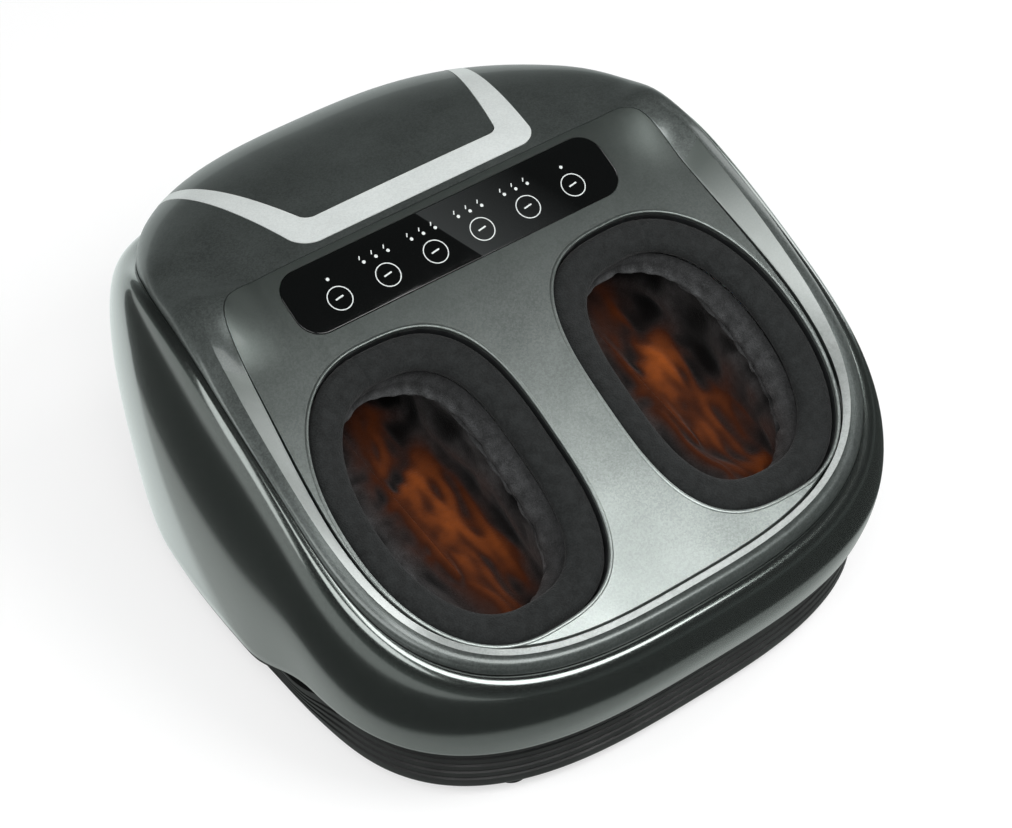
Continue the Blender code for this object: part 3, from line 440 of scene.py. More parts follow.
# Real sizes of what the finishes are made of, in metres. Flakes and grain are drawn coarser than the real ones, which
# are some 0.02 to 0.3 mm, so that they show in the picture
lacquer_flake, gloss_flake, spray_cloud, spray_grain = 0.0009, 0.0006, 0.035, 0.0012
peel_pitch, peel_depth = 0.004, 0.00002
handling_patch, nap_clump, nap_hollow = 0.02, 0.006, 0.004
collar_loop, lining_loop = 0.0011, 0.0009


def metallic_paint(name, dark, light, metallic, roughness, coat, coat_roughness=0.05, painted_fade=None):
    """ABS sprayed with metallic lacquer: aluminium flakes under a clear coat, grainy close to and silky from afar."""
    made, shader, place = new_material(name, Metallic=metallic, Coat_Weight=coat, Coat_Roughness=coat_roughness)
    flakes = add_node(made, CELLS, None, Vector=place, Scale=1 / lacquer_flake).outputs["Color"]
    tone = add_node(made, "ShaderNodeSeparateColor", None, Color=flakes).outputs["Red"]
    cloud = add_node(made, NOISE, None, Vector=place, Scale=1 / spray_cloud, Detail=2.0, Roughness=0.55)
    shade = add_node(made, MATH, TIMES_PLUS, _0=tone, _1=0.55, _2=cloud.outputs["Fac"]).outputs[0]
    share = add_node(made, RANGE, None, Value=shade, From_Min=0.35, From_Max=1.2, To_Min=0.0, To_Max=1.0)
    colour = add_node(made, MIX, MIX_RGBA, _0=share.outputs[0], _6=dark, _7=light).outputs[MIXED]
    if painted_fade:
        # Painted reflection and shade: the colour darkens along the piece, from one Y to another, into a darker colour
        worn_and_shaded, near, far = painted_fade
        along = add_node(made, PARTS, None, Vector=place).outputs["Y"]
        share = add_node(made, RANGE, None, Value=along, From_Min=near, From_Max=far, To_Min=0.0, To_Max=1.0)
        colour = add_node(made, MIX, MIX_RGBA, _0=share.outputs[0], _6=colour, _7=worn_and_shaded).outputs[MIXED]
    link(made, colour, shader, "Base Color")
    rough = add_node(made, RANGE, None, Value=tone, From_Min=0.0, From_Max=1.0)
    rough.inputs["To Min"].default_value, rough.inputs["To Max"].default_value = roughness - 0.04, roughness + 0.05
    link(made, rough.outputs[0], shader, "Roughness")
    grain = add_node(made, NOISE, None, Vector=place, Scale=1 / spray_grain, Detail=2.0, Roughness=0.55)
    raised = add_node(made, BUMP, None, Height=grain.outputs["Fac"], Distance=0.00002, Strength=0.6)
    link(made, raised.outputs["Normal"], shader, "Normal")
    return made


def moulded_plastic(name, colour, worn_and_shaded, roughness, grain=0.0007, depth=0.00004):
    """Injection-moulded ABS with a spark-eroded grain: matt, with a slight sheen where it is handled."""
    made, shader, place = new_material(name, IOR=1.53)
    cloud = add_node(made, NOISE, None, Vector=place, Scale=1 / handling_patch, Detail=3.0, Roughness=0.55)
    cloud = cloud.outputs["Fac"]
    link(made, add_node(made, MIX, MIX_RGBA, _0=cloud, _6=colour, _7=worn_and_shaded).outputs[MIXED], shader, "Base Color")
    rough = add_node(made, RANGE, None, Value=cloud, From_Min=0.3, From_Max=0.7)
    rough.inputs["To Min"].default_value, rough.inputs["To Max"].default_value = roughness - 0.05, roughness + 0.07
    link(made, rough.outputs[0], shader, "Roughness")
    pits = add_node(made, NOISE, None, Vector=place, Scale=1 / grain, Detail=3.0, Roughness=0.55).outputs["Fac"]
    raised = add_node(made, BUMP, None, Height=pits, Distance=depth, Strength=1.0)
    link(made, raised.outputs["Normal"], shader, "Normal")
    return made


def gunmetal_gloss(name):
    """Moulded ABS in dark metallic lacquer, polished: near black above, with mirror-clear edges."""
    made, shader, place = new_material(name, Metallic=0.9, Coat_Weight=1.0, Coat_Roughness=0.04, Coat_IOR=1.5)
    flakes = add_node(made, CELLS, None, Vector=place, Scale=1 / gloss_flake).outputs["Color"]
    tone = add_node(made, "ShaderNodeSeparateColor", None, Color=flakes).outputs["Red"]
    colour = add_node(made, MIX, MIX_RGBA, _0=tone, _6=linear("585e5b"), _7=linear("666c69"))
    link(made, colour.outputs[MIXED], shader, "Base Color")
    rough = add_node(made, RANGE, None, Value=tone, From_Min=0.0, From_Max=1.0, To_Min=0.17, To_Max=0.23)
    link(made, rough.outputs[0], shader, "Roughness")
    # Orange peel of a sprayed coat, about 4 mm from crest to crest
    peel = add_node(made, NOISE, None, Vector=place, Scale=1 / peel_pitch, Detail=1.0, Roughness=0.55).outputs["Fac"]
    raised = add_node(made, BUMP, None, Height=peel, Distance=peel_depth, Strength=0.5)
    link(made, raised.outputs["Normal"], shader, "Coat Normal")
    return made


def panel_gloss(name):
    """Smoked acrylic over black print: a hard, wet black with a painted grey reflection across its middle."""
    made, shader, place = new_material(name, Roughness=0.07, IOR=1.49, Coat_Weight=0.4, Coat_Roughness=0.03)
    parts = add_node(made, PARTS, None, Vector=place).outputs
    # The painted reflection starts on a slanting line right of the middle and dies out towards the right end
    slant = add_node(made, MATH, TIMES_PLUS, _0=parts["Y"], _1=0.55, _2=parts["X"]).outputs[0]
    begin = add_node(made, RANGE, None, Value=slant, From_Min=0.0095, From_Max=0.0105, To_Min=0.0, To_Max=1.0)
    fade = add_node(made, RANGE, None, Value=slant, From_Min=0.01, From_Max=0.085, To_Min=1.0, To_Max=0.0)
    painted_gloss = add_node(made, MATH, TIMES, _0=begin.outputs[0], _1=fade.outputs[0]).outputs[0]
    colour = add_node(made, MIX, MIX_RGBA, _0=painted_gloss, _6=linear("0b0c0c"), _7=linear("303232"))
    link(made, colour.outputs[MIXED], shader, "Base Color")
    wipe = add_node(made, NOISE, None, Vector=place, Scale=1 / 0.012, Detail=3.0, Roughness=0.55).outputs["Fac"]
    rough = add_node(made, RANGE, None, Value=wipe, From_Min=0.3, From_Max=0.7, To_Min=0.05, To_Max=0.09)
    link(made, rough.outputs[0], shader, "Roughness")
    return made


def printed_ink(name):
    """White screen print with a faint painted glow: chalky and a little uneven."""
    # Painted glow: a faint emission brightens the print
    made, shader, place = new_material(name, Roughness=0.5, Emission_Strength=0.12)
    grain = add_node(made, NOISE, None, Vector=place, Scale=1 / 0.0004, Detail=3.0, Roughness=0.55).outputs["Fac"]
    colour = add_node(made, MIX, MIX_RGBA, _0=grain, _6=linear("b4b9b7"), _7=linear("d9dddc"))
    link(made, colour.outputs[MIXED], shader, "Base Color")
    shader.inputs["Emission Color"].default_value = linear("e6ebe9")
    return made


def knit_fabric(name, dark, light, cell, painted_glow_colours=None):
    """Brushed polyester knit: soft and light-drinking, with fine loops and a pale nap at grazing angles."""
    made, shader, place = new_material(
        name, Roughness=0.92, Sheen_Weight=0.08, Sheen_Roughness=0.5, Specular_IOR_Level=0.2
    )
    loops = add_node(made, CELLS, None, Vector=place, Scale=1 / cell).outputs["Distance"]
    fuzz = add_node(made, NOISE, None, Vector=place, Scale=1 / nap_clump, Detail=4.0, Roughness=0.55).outputs["Fac"]
    shade = add_node(made, MATH, TIMES_PLUS, _0=loops, _1=0.5, _2=fuzz).outputs[0]
    share = add_node(made, RANGE, None, Value=shade, From_Min=0.35, From_Max=1.0, To_Min=0.0, To_Max=1.0)
    cloth = add_node(made, MIX, MIX_RGBA, _0=share.outputs[0], _6=dark, _7=light).outputs[MIXED]
    link(made, cloth, shader, "Base Color")
    hollows = add_node(made, NOISE, None, Vector=place, Scale=1 / nap_hollow, Detail=4.0, Roughness=0.55)
    uneven = add_node(made, BUMP, None, Height=hollows.outputs["Fac"], Distance=0.0008, Strength=0.5)
    raised = add_node(
        made, BUMP, None, Height=loops, Distance=0.0004, Strength=0.8, Normal=uneven.outputs["Normal"]
    )
    link(made, raised.outputs["Normal"], shader, "Normal")
    if painted_glow_colours:
        light_through(made, shader, cloth, fuzz, painted_glow_colours)
    return made


def light_through(made, shader, cloth, fuzz, painted_glow_colours):
    """Painted light through a lining: its attribute glow paints the lamps' light in as emission and warms the fabric,
    and fold paints shade into the valleys.
    """
    glow = add_node(made, ATTRIBUTE, {"attribute_name": "glow"}).outputs["Fac"]
    share = add_node(made, RANGE, None, Value=glow, From_Min=0.05, From_Max=0.8, To_Min=0.0, To_Max=1.0)
    lamp = add_node(made, MIX, MIX_RGBA, _0=share.outputs[0], _6=painted_glow_colours[0], _7=painted_glow_colours[1])
    fold = add_node(made, ATTRIBUTE, {"attribute_name": "fold"}).outputs["Fac"]
    # Painted shade: fold darkens the cloth towards near black in the valleys
    shaded = add_node(made, MIX, MIX_RGBA, _0=fold, _6=linear("070707"), _7=cloth).outputs[MIXED]
    # Painted light: the glow also warms the cloth's colour
    warmed = add_node(made, RANGE, None, Value=glow, From_Min=0.0, From_Max=0.25, To_Min=0.0, To_Max=1.0)
    warm = add_node(made, MIX, MIX_RGBA, _0=warmed.outputs[0], _6=shaded, _7=linear("1c0a04"))
    link(made, warm.outputs[MIXED], shader, "Base Color")
    patchy = add_node(made, RANGE, None, Value=fuzz, From_Min=0.3, From_Max=0.7, To_Min=0.85, To_Max=1.12)
    lit = add_node(made, MATH, TIMES, _0=glow, _1=patchy.outputs[0])
    link(made, lamp.outputs[MIXED], shader, "Emission Color")
    link(made, lit.outputs[0], shader, "Emission Strength")


def plain_metal(name, colour, shade, roughness, scratch=0.0006):
    """Drawn or turned metal: bright, with fine tool marks."""
    made, shader, place = new_material(name, Metallic=1.0)
    drawn = add_node(made, "ShaderNodeMapping", None, Vector=place, Scale=(1.0, 1.0, 0.12)).outputs["Vector"]
    marks = add_node(made, NOISE, None, Vector=drawn, Scale=1 / scratch, Detail=3.0, Roughness=0.55).outputs["Fac"]
    link(made, add_node(made, MIX, MIX_RGBA, _0=marks, _6=colour, _7=shade).outputs[MIXED], shader, "Base Color")
    rough = add_node(made, RANGE, None, Value=marks, From_Min=0.3, From_Max=0.7)
    rough.inputs["To Min"].default_value, rough.inputs["To Max"].default_value = roughness - 0.06, roughness + 0.08
    link(made, rough.outputs[0], shader, "Roughness")
    raised = add_node(made, BUMP, None, Height=marks, Distance=0.00003, Strength=1.0)
    link(made, raised.outputs["Normal"], shader, "Normal")
    return made


def clear_vinyl(name):
    """Welded PVC film: milky and soft, with a slick skin."""
    made, shader, place = new_material(name, Roughness=0.35, IOR=1.52, Subsurface_Weight=0.1)
    cloud = add_node(made, NOISE, None, Vector=place, Scale=1 / 0.015, Detail=3.0, Roughness=0.55).outputs["Fac"]
    colour = add_node(made, MIX, MIX_RGBA, _0=cloud, _6=linear("a9aeb0"), _7=linear("c9cdce"))
    link(made, colour.outputs[MIXED], shader, "Base Color")
    raised = add_node(made, BUMP, None, Height=cloud, Distance=0.0012, Strength=0.6)
    link(made, raised.outputs["Normal"], shader, "Normal")
    return made


def circuit_board(name):
    """FR-4 laminate under green solder mask, with paler tracks."""
    made, shader, place = new_material(name, Roughness=0.32, IOR=1.55)
    tracks = add_node(
        made, "ShaderNodeTexBrick", None, Vector=place, Scale=1 / 0.006, Mortar_Size=0.06,
        Color1=linear("1f5b37"), Color2=linear("23663d"), Mortar=linear("4f8a5f"),
    )
    link(made, tracks.outputs["Color"], shader, "Base Color")
    return made


def lamp_glass(name):
    """A heating lamp's cover: heat-proof orange glass that glows."""
    made, shader, place = new_material(name, Roughness=0.2, IOR=1.5, Emission_Strength=1.6)
    cloud = add_node(made, NOISE, None, Vector=place, Scale=1 / 0.008, Detail=3.0, Roughness=0.55).outputs["Fac"]
    for socket, dark, light in (("Base Color", "b4480f", "f08a3c"), ("Emission Color", "d9500f", "ff9a45")):
        colour = add_node(made, MIX, MIX_RGBA, _0=cloud, _6=linear(dark), _7=linear(light))
        link(made, colour.outputs[MIXED], shader, socket)
    return made


# What a user would change


class MassagerSettings(bpy.types.PropertyGroup):
    rim_width: bpy.props.FloatProperty(
        name="Opening rim", description="Width of the rolled edge round each foot opening",
        default=0.0022, min=0.0005, max=0.005, unit="LENGTH",
    )
    mark_width: bpy.props.FloatProperty(
        name="Mark line", description="Line width of the printed rings on the control panel",
        default=0.00062, min=0.0004, max=0.003, unit="LENGTH",
    )
    gather_depth: bpy.props.FloatProperty(
        name="Gathers", description="Depth of the folds in the foot chambers' lining",
        default=0.0042, min=0.0, max=0.008, unit="LENGTH",
    )
    glow: bpy.props.FloatProperty(
        name="Heat glow", description="Strength of the heating lamps' glow through the lining",
        default=1.0, min=0.0, max=3.0, subtype="FACTOR",
    )
    shell_dark: bpy.props.FloatVectorProperty(
        name="Cover", description="Darker colour of the top cover's lacquer", subtype="COLOR", size=4,
        default=linear("4b504e"), min=0.0, max=1.0,
    )


def settings():
    return bpy.context.scene.massager


def finish(make, name, *values):
    """The material of this name, made once."""
    return bpy.data.materials.get(name) or make(name, *values)


def satin_cover():
    dark, light = tuple(settings().shell_dark), linear("626866")
    return finish(metallic_paint, "satin_metallic_cover", dark, light, 0.6, 0.34, 0.25)


def satin_plate():
    # Painted reflection and shade: the plate is bright in front and darkens towards the rear
    painted_fade = (linear("4c524f"), -0.15, 0.05)
    colours = linear("8a918e"), linear("a8afac")
    return finish(metallic_paint, "satin_metallic_plate", *colours, 0.8, 0.38, 0.12, 0.05, painted_fade)


def painted_band_reflection():
    # Painted reflection: bright silver in front, darkening into the cover's colour towards the rear
    painted_fade = (linear("565c59"), -0.18, -0.005)
    colours = linear("c3c9c6"), linear("dadfdd")
    return finish(metallic_paint, "silver_band_lacquer", *colours, 0.7, 0.33, 0.2, 0.1, painted_fade)


def silver_trim():
    return finish(metallic_paint, "silver_lacquer", linear("ccd1cf"), linear("dde2e0"), 0.15, 0.38, 0.3)


def black_base():
    return finish(moulded_plastic, "black_moulded_abs", linear("0b0c0c"), linear("121313"), 0.5)


# Pieces


def u_shape(name, front_y, half_width, flare_share, corner, grow=0.0):
    """An upright prism over a U that opens to the rear, with rounded front corners."""
    flare = math.atan(flare_share)
    rear_y = outline_y + parting_reach[2] + 0.01
    front_y, corner = front_y - grow, corner + grow
    half_width += grow * (1 / math.cos(flare) - flare_share)
    turn = math.pi / 2 - flare
    angle = -math.pi / 2 + turn * np.linspace(0, 1, 17)
    x = half_width - corner * math.tan(turn / 2) + corner * np.cos(angle)
    y = front_y + corner + corner * np.sin(angle)
    x, y = np.append(x, half_width + (rear_y - front_y) * flare_share), np.append(y, rear_y)
    x, y = np.concatenate([x, -x[::-1]]), np.concatenate([y, y[::-1]])
    rows = [np.stack([x, y, np.full(len(x), z)], axis=-1) for z in (prism_low, prism_high)]
    return closed_ends(skin(name, rows))


def closed_ends(piece):
    """Fills the open ends of a tube-like skin."""
    return edit(
        piece,
        ("select_all", {"action": "DESELECT"}),
        ("select_mode", {"type": "EDGE"}),
        ("select_non_manifold", {}),
        ("edge_face_add", {}),
        ("select_all", {"action": "SELECT"}),
        ("normals_make_consistent", {"inside": False}),
    )


def wall_rows(outer, wall):
    """The rows of the inner skin, a wall's thickness inside the outer rows."""
    outer = np.asarray(outer)
    along = np.roll(outer, -1, axis=1) - np.roll(outer, 1, axis=1)
    across = np.gradient(outer, axis=0)
    normal = np.cross(along, across)
    normal /= np.linalg.norm(normal, axis=-1, keepdims=True)
    return outer - normal * wall


def cover_shell(name, lift=0.0, lip=True):
    """The cover's walled skin: rows close together where it turns down and at the rim's crest."""
    angle = turn_angles()
    outside = crest_ring * np.linspace(0, 1, 26)[:-1] ** 1.8
    near = crest_ring + np.array([-0.035, -0.012, 0.0, 0.012, 0.035])
    inside = crest_ring + (1 - crest_ring) * np.linspace(0, 1, 12)[2:]
    outer = np.array([cover_point(angle, ring, lift) for ring in np.concatenate([outside[:-1], near, inside])])
    inner = wall_rows(outer, shell_wall)[::3]
    inner[0, :, 2] = outer[0, :, 2]
    if not lip:
        return skin(name, np.concatenate([outer, inner[::-1]]), round_rows=True)
    step = outer[-1] - (0, 0, lip_depth)
    middle = np.array([0, outline_y, 0])
    out = (step - middle) * (1, 1, 0)
    wall = step + out / np.linalg.norm(out, axis=-1, keepdims=True) * shell_wall
    rows = np.concatenate([outer, [step, wall], inner[-2::-1]])
    return skin(name, rows, round_rows=True)


class MASSAGER_OT_flank(bpy.types.Operator):
    """Mould the glossy flank that wraps the base up to the parting line"""

    bl_idname = "massager.flank"
    bl_label = "Glossy flank"

    def execute(self, context):
        angle = turn_angles()
        shares = np.concatenate([np.linspace(0, 0.8, 24), 1 - 0.2 * np.linspace(1, 0, 24)[1:] ** 2])
        outer = np.array([flank_point(angle, share) for share in shares])
        inner = wall_rows(outer, shell_wall)[::4]
        inner = np.concatenate([inner, wall_rows(outer, shell_wall)[-1:]])
        inner[0, :, 2], inner[-1, :, 2] = outer[0, :, 2], outer[-1, :, 2]
        flank = skin("glossy_flank", np.concatenate([outer, inner[::-1]]), round_rows=True)
        round_edges(flank, 0.0009)
        smooth(flank, 40)
        hand_over(flank, finish(gunmetal_gloss, "gunmetal_lacquer"), "gunmetal_gloss", "flank_shell")
        return {"FINISHED"}


class MASSAGER_OT_cover(bpy.types.Operator):
    """Mould the satin top cover, with the slot that the trim sits in"""

    bl_idname = "massager.cover"
    bl_label = "Top cover"

    def execute(self, context):
        cover = cover_shell("satin_cover")
        round_edges(cover, 0.0007)
        window = u_shape("slot", stripe_front_y, stripe_half_width, stripe_flare_share, stripe_corner, seam)
        carve(cover, window)
        smooth(cover, 35)
        hand_over(cover, satin_cover(), "cover_metallic", "top_cover")
        cover.data.materials.append(painted_band_reflection())
        # Painted reflection: the rim's upward faces between crest and plate, ahead of the hump, take the bright band
        # colour
        for face in cover.data.polygons:
            face.material_index = int(face.normal.z > 0.3 and self.on_band(face.center))
        return {"FINISHED"}

    def on_band(self, point):
        """Whether a point lies between the rim's crest and the plate, ahead of the hump."""
        angle = math.atan2(point.y - outline_y, point.x)
        (x0, y0), (x1, y1) = outline(angle, parting_reach, rear_power), plate_plan(angle)
        full, flat = math.hypot(x0, y0 - outline_y), math.hypot(x1, y1 - outline_y)
        share = (full - math.hypot(point.x, point.y - outline_y)) / (full - flat)
        side = smooth_step(y1, plate_front, deck_y + opening_half_width)
        off_axis = abs(math.atan2(abs(x0), y0 - outline_y))
        return off_axis > rim_angle and share > crest_share[0] + (crest_share[1] - crest_share[0]) * side


class MASSAGER_OT_trim(bpy.types.Operator):
    """Let the silver trim and the rear cap into the cover"""

    bl_idname = "massager.trim"
    bl_label = "Trim and rear cap"

    def execute(self, context):
        trim = cover_shell("silver_trim", 0.0002, lip=False)
        carve(trim, u_shape("edge", stripe_front_y, stripe_half_width, stripe_flare_share, stripe_corner), "INTERSECT")
        carve(trim, u_shape("window", cap_front_y, cap_half_width, cap_flare_share, cap_corner, 0.0007))
        smooth(trim, 35)
        hand_over(trim, silver_trim(), "stripe_silver", "stripe_trim")
        cap = cover_shell("rear_panel", 0.0, lip=False)
        carve(cap, u_shape("edge", cap_front_y, cap_half_width, cap_flare_share, cap_corner), "INTERSECT")
        smooth(cap, 35)
        hand_over(cap, satin_cover(), "cover_metallic", "rear_cap")
        return {"FINISHED"}


class MASSAGER_OT_plate(bpy.types.Operator):
    """Press the deck's plate, with its rolled openings and the panel's window"""

    bl_idname = "massager.plate"
    bl_label = "Deck plate"

    def execute(self, context):
        angle = turn_angles()
        edge_x, edge_y = plate_edge(angle)

        def row(scale, up):
            """The plate's outline drawn in, at a height over the deck."""
            x, y = edge_x * scale, outline_y + (edge_y - outline_y) * scale
            return np.stack([x, y, deck_height(y) + up + dish_height(x, y)], axis=-1)

        scales = np.append(1 - 0.4 * np.linspace(0, 1, 30) ** 1.6, 0.3)
        top = [row(scale, 0) for scale in scales]
        low = [row(scale, -plate_wall) for scale in scales]
        plate = closed_ends(skin("deck_plate", low[::-1] + top))
        round_edges(plate, 0.0007, 3, 60)
        for side in (-1, 1):
            hole = [opening_row(side, 0, up, opening_points) for up in (-0.01, 0.01)]
            carve(plate, closed_ends(skin("hole", hole)))
        carve(plate, panel_outline("window", seam, (-0.01, 0.01)))
        smooth(plate, 30)
        rims = [plate]
        width = settings().rim_width
        for side in (-1, 1):
            rows = []
            for turn in np.linspace(0, math.tau, 12, endpoint=False):
                # A flat bead that overlaps the plate's edge by a tenth of a millimetre
                inset = -width / 2 + 0.0001 - math.cos(turn) * width / 2
                up = max(math.sin(turn), -0.5) * width * 0.22 + 0.0001
                rows.append(opening_row(side, inset, up, opening_points))
            rims.append(smooth(skin("rim", rows, round_rows=True), 60))
        join("deck_plate", rims)
        hand_over(plate, satin_plate(), "plate_metallic", "face_plate")
        return {"FINISHED"}


def panel_outline(name, grow, levels):
    """The control panel's rounded outline, as a closed block between two levels."""
    half_x, half_y, corner = panel_half_width + grow, panel_half_depth + grow, panel_corner + grow
    x, y = [], []
    for quarter, (sign_x, sign_y) in enumerate(((1, 1), (-1, 1), (-1, -1), (1, -1))):
        angle = (quarter + np.linspace(0, 1, 13)) * math.pi / 2
        x.append(sign_x * (half_x - corner) + corner * np.cos(angle))
        y.append(sign_y * (half_y - corner) + corner * np.sin(angle))
    x, y = np.concatenate(x), np.concatenate(y)
    rows = [deck_points(x, panel_along + y, up) for up in levels]
    return closed_ends(skin(name, rows))


class MASSAGER_OT_panel(bpy.types.Operator):
    """Set the smoked control panel with its printed rings and dots"""

    bl_idname = "massager.panel"
    bl_label = "Control panel"
    PRINT_LEVEL, RING_RADIUS = 0.00036, 0.0077  # just inside the lens's top face

    def execute(self, context):
        lens = panel_outline("smoked_panel", 0, (-0.0026, 0.0004))
        round_edges(lens, 0.0006, 3, 60)
        smooth(lens, 35)
        hand_over(lens, finish(panel_gloss, "smoked_acrylic"), "panel_black", "control_lens")
        ink, half_line, print_height = [], settings().mark_width / 2, 0.00014
        for k in range(KEYS):
            place = deck_place((k - (KEYS - 1) / 2) * key_pitch, key_row, self.PRINT_LEVEL)
            inner, outer = self.RING_RADIUS - half_line, self.RING_RADIUS + half_line
            profile = [(inner, 0), (inner, print_height), (outer, print_height), (outer, 0)]
            ink.append(turned("ring", profile, place, 40))
            tilt = Matrix.Rotation(math.radians(8), 4, "Z")
            dash = place @ tilt @ Matrix.Translation((0, 0.0004, print_height / 2))
            ink.append(rounded_box("dash", (0.0058, 0.0010, print_height), dash, 0.00006, 1))
            dots = (0,) if k in (0, KEYS - 1) else (-1, 0, 1)
            for step in dots:
                x = (k - (KEYS - 1) / 2) * key_pitch + step * dot_pitch
                dot = deck_place(x, key_row + dot_row, self.PRINT_LEVEL)
                profile = [(0.00002, 0), (0.00002, 0.00016), (0.0008, 0.00016), (0.0011, 0.0001), (0.0011, 0)]
                ink.append(turned("dot", profile, dot, 16))
                if len(dots) > 1:
                    lean = Matrix.Rotation(math.radians(62), 4, "Z")
                    tick = dot @ Matrix.Translation((-0.0012, 0.0034, print_height / 2)) @ lean
                    ink.append(rounded_box("tick", (0.0026, 0.0007, print_height), tick, 0.00006, 1))
        marks = join("panel_print", ink)
        smooth(marks, 30)
        hand_over(marks, finish(printed_ink, "white_print"), "panel_black")
        return {"FINISHED"}


class MASSAGER_OT_collars(bpy.types.Operator):
    """Pad the two fabric collars in the openings"""

    bl_idname = "massager.collars"
    bl_label = "Padded collars"
    SLACK, DRAWN_IN = 0.0008, 0.003  # how far the form starts under full size, and how far its inner edge falls
    SEAM_DEPTH, SEAM_HALF_WIDTH, SEAM_AT = 0.0009, 0.0011, {-1: math.radians(95), 1: math.radians(74)}

    def execute(self, context):
        fabric = finish(knit_fabric, "charcoal_knit", linear("151616"), linear("272929"), collar_loop)
        for side, name in ((-1, "left"), (1, "right")):
            turn = np.linspace(0, math.tau, 28, endpoint=False)
            rows = []
            for t in turn:
                # A flattened tube, fuller on top and drawn in towards the lining
                c, s = math.cos(t), math.sin(t)
                across = 0.5 - 0.5 * math.copysign(abs(c) ** 0.7, c)
                up = 0.5 + 0.5 * math.copysign(abs(s) ** 0.8, s)
                inset = collar_gap + self.SLACK / 2 + collar_width * across
                fall = (collar_height - 0.001) * (1 - up) + self.DRAWN_IN * across ** 2 * up
                rows.append(opening_row(side, inset, -collar_sink - self.SLACK - fall, collar_points))
            collar = skin(name + "_padded_collar", rows, round_rows=True)
            place = points_of(collar)
            along, up = deck_axes(place)
            edge = opening_row(side, collar_gap, 0, collar_points)
            edge_x, edge_along = edge[:, 0], deck_axes(edge)[0]
            reach = np.array([np.min(np.hypot(edge_x - x, edge_along - a)) for x, a in zip(place[:, 0], along)])
            held = (reach < 0.0025) | (up < -collar_sink - 0.55 * collar_height)
            press_out(collar, held, pressure=2.5, cap=0.0028)
            apply(collar, "SUBSURF", levels=1, render_levels=1)
            self.sew(collar, side)
            smooth(collar, 80)
            hand_over(collar, fabric, "collar_fabric", name + "_collar")
        return {"FINISHED"}

    def sew(self, collar, side):
        """Presses in the joining seam, a narrow valley across the collar at its rear."""
        place = points_of(collar)
        along = deck_axes(place)[0]
        angle = np.arctan2(along / opening_half_length, (place[:, 0] - side * opening_x) / opening_half_width)
        off = (angle - self.SEAM_AT[side]) * opening_half_width
        valley = self.SEAM_DEPTH * np.exp(-(off / self.SEAM_HALF_WIDTH) ** 2)
        place -= np.array([0, -math.sin(deck_slope), math.cos(deck_slope)]) * valley[:, None]
        lay_points(collar, place)


def deck_axes(place):
    """The opposite of deck_points: how far points lie up the deck from the openings' middle, and over it."""
    c, s = math.cos(deck_slope), math.sin(deck_slope)
    y, z = place[:, 1] - deck_y, place[:, 2] - deck_z
    return y * c + z * s, z * c - y * s


def chamber_row(side, front, rear, half_width, inset, count):
    """A ring of the foot chamber between two points of its middle plane."""
    angle = np.arange(count) * math.tau / count
    x, along = d_outline(side, angle, half_width - inset, 1)
    middle, reach = (front + rear) / 2, (rear - front) / 2
    reach = reach * (1 - inset / np.linalg.norm(reach))
    return middle + reach * along[:, None] + np.stack([side * opening_x + x, 0 * x, 0 * x], axis=-1)


def through(rows, count):
    """Rows on smooth curves through the given rows."""
    rows = np.asarray(rows)
    padded = np.concatenate([[2 * rows[0] - rows[1]], rows, [2 * rows[-1] - rows[-2]]])
    made = []
    for t in np.linspace(0, len(rows) - 1, count):
        k = min(int(t), len(rows) - 2)
        t -= k
        a, b, c, d = padded[k:k + 4]
        bend, swing = 2 * a - 5 * b + 4 * c - d, 3 * b - a - 3 * c + d
        made.append(0.5 * (2 * b + (c - a) * t + bend * t ** 2 + swing * t ** 3))
    return np.array(made)


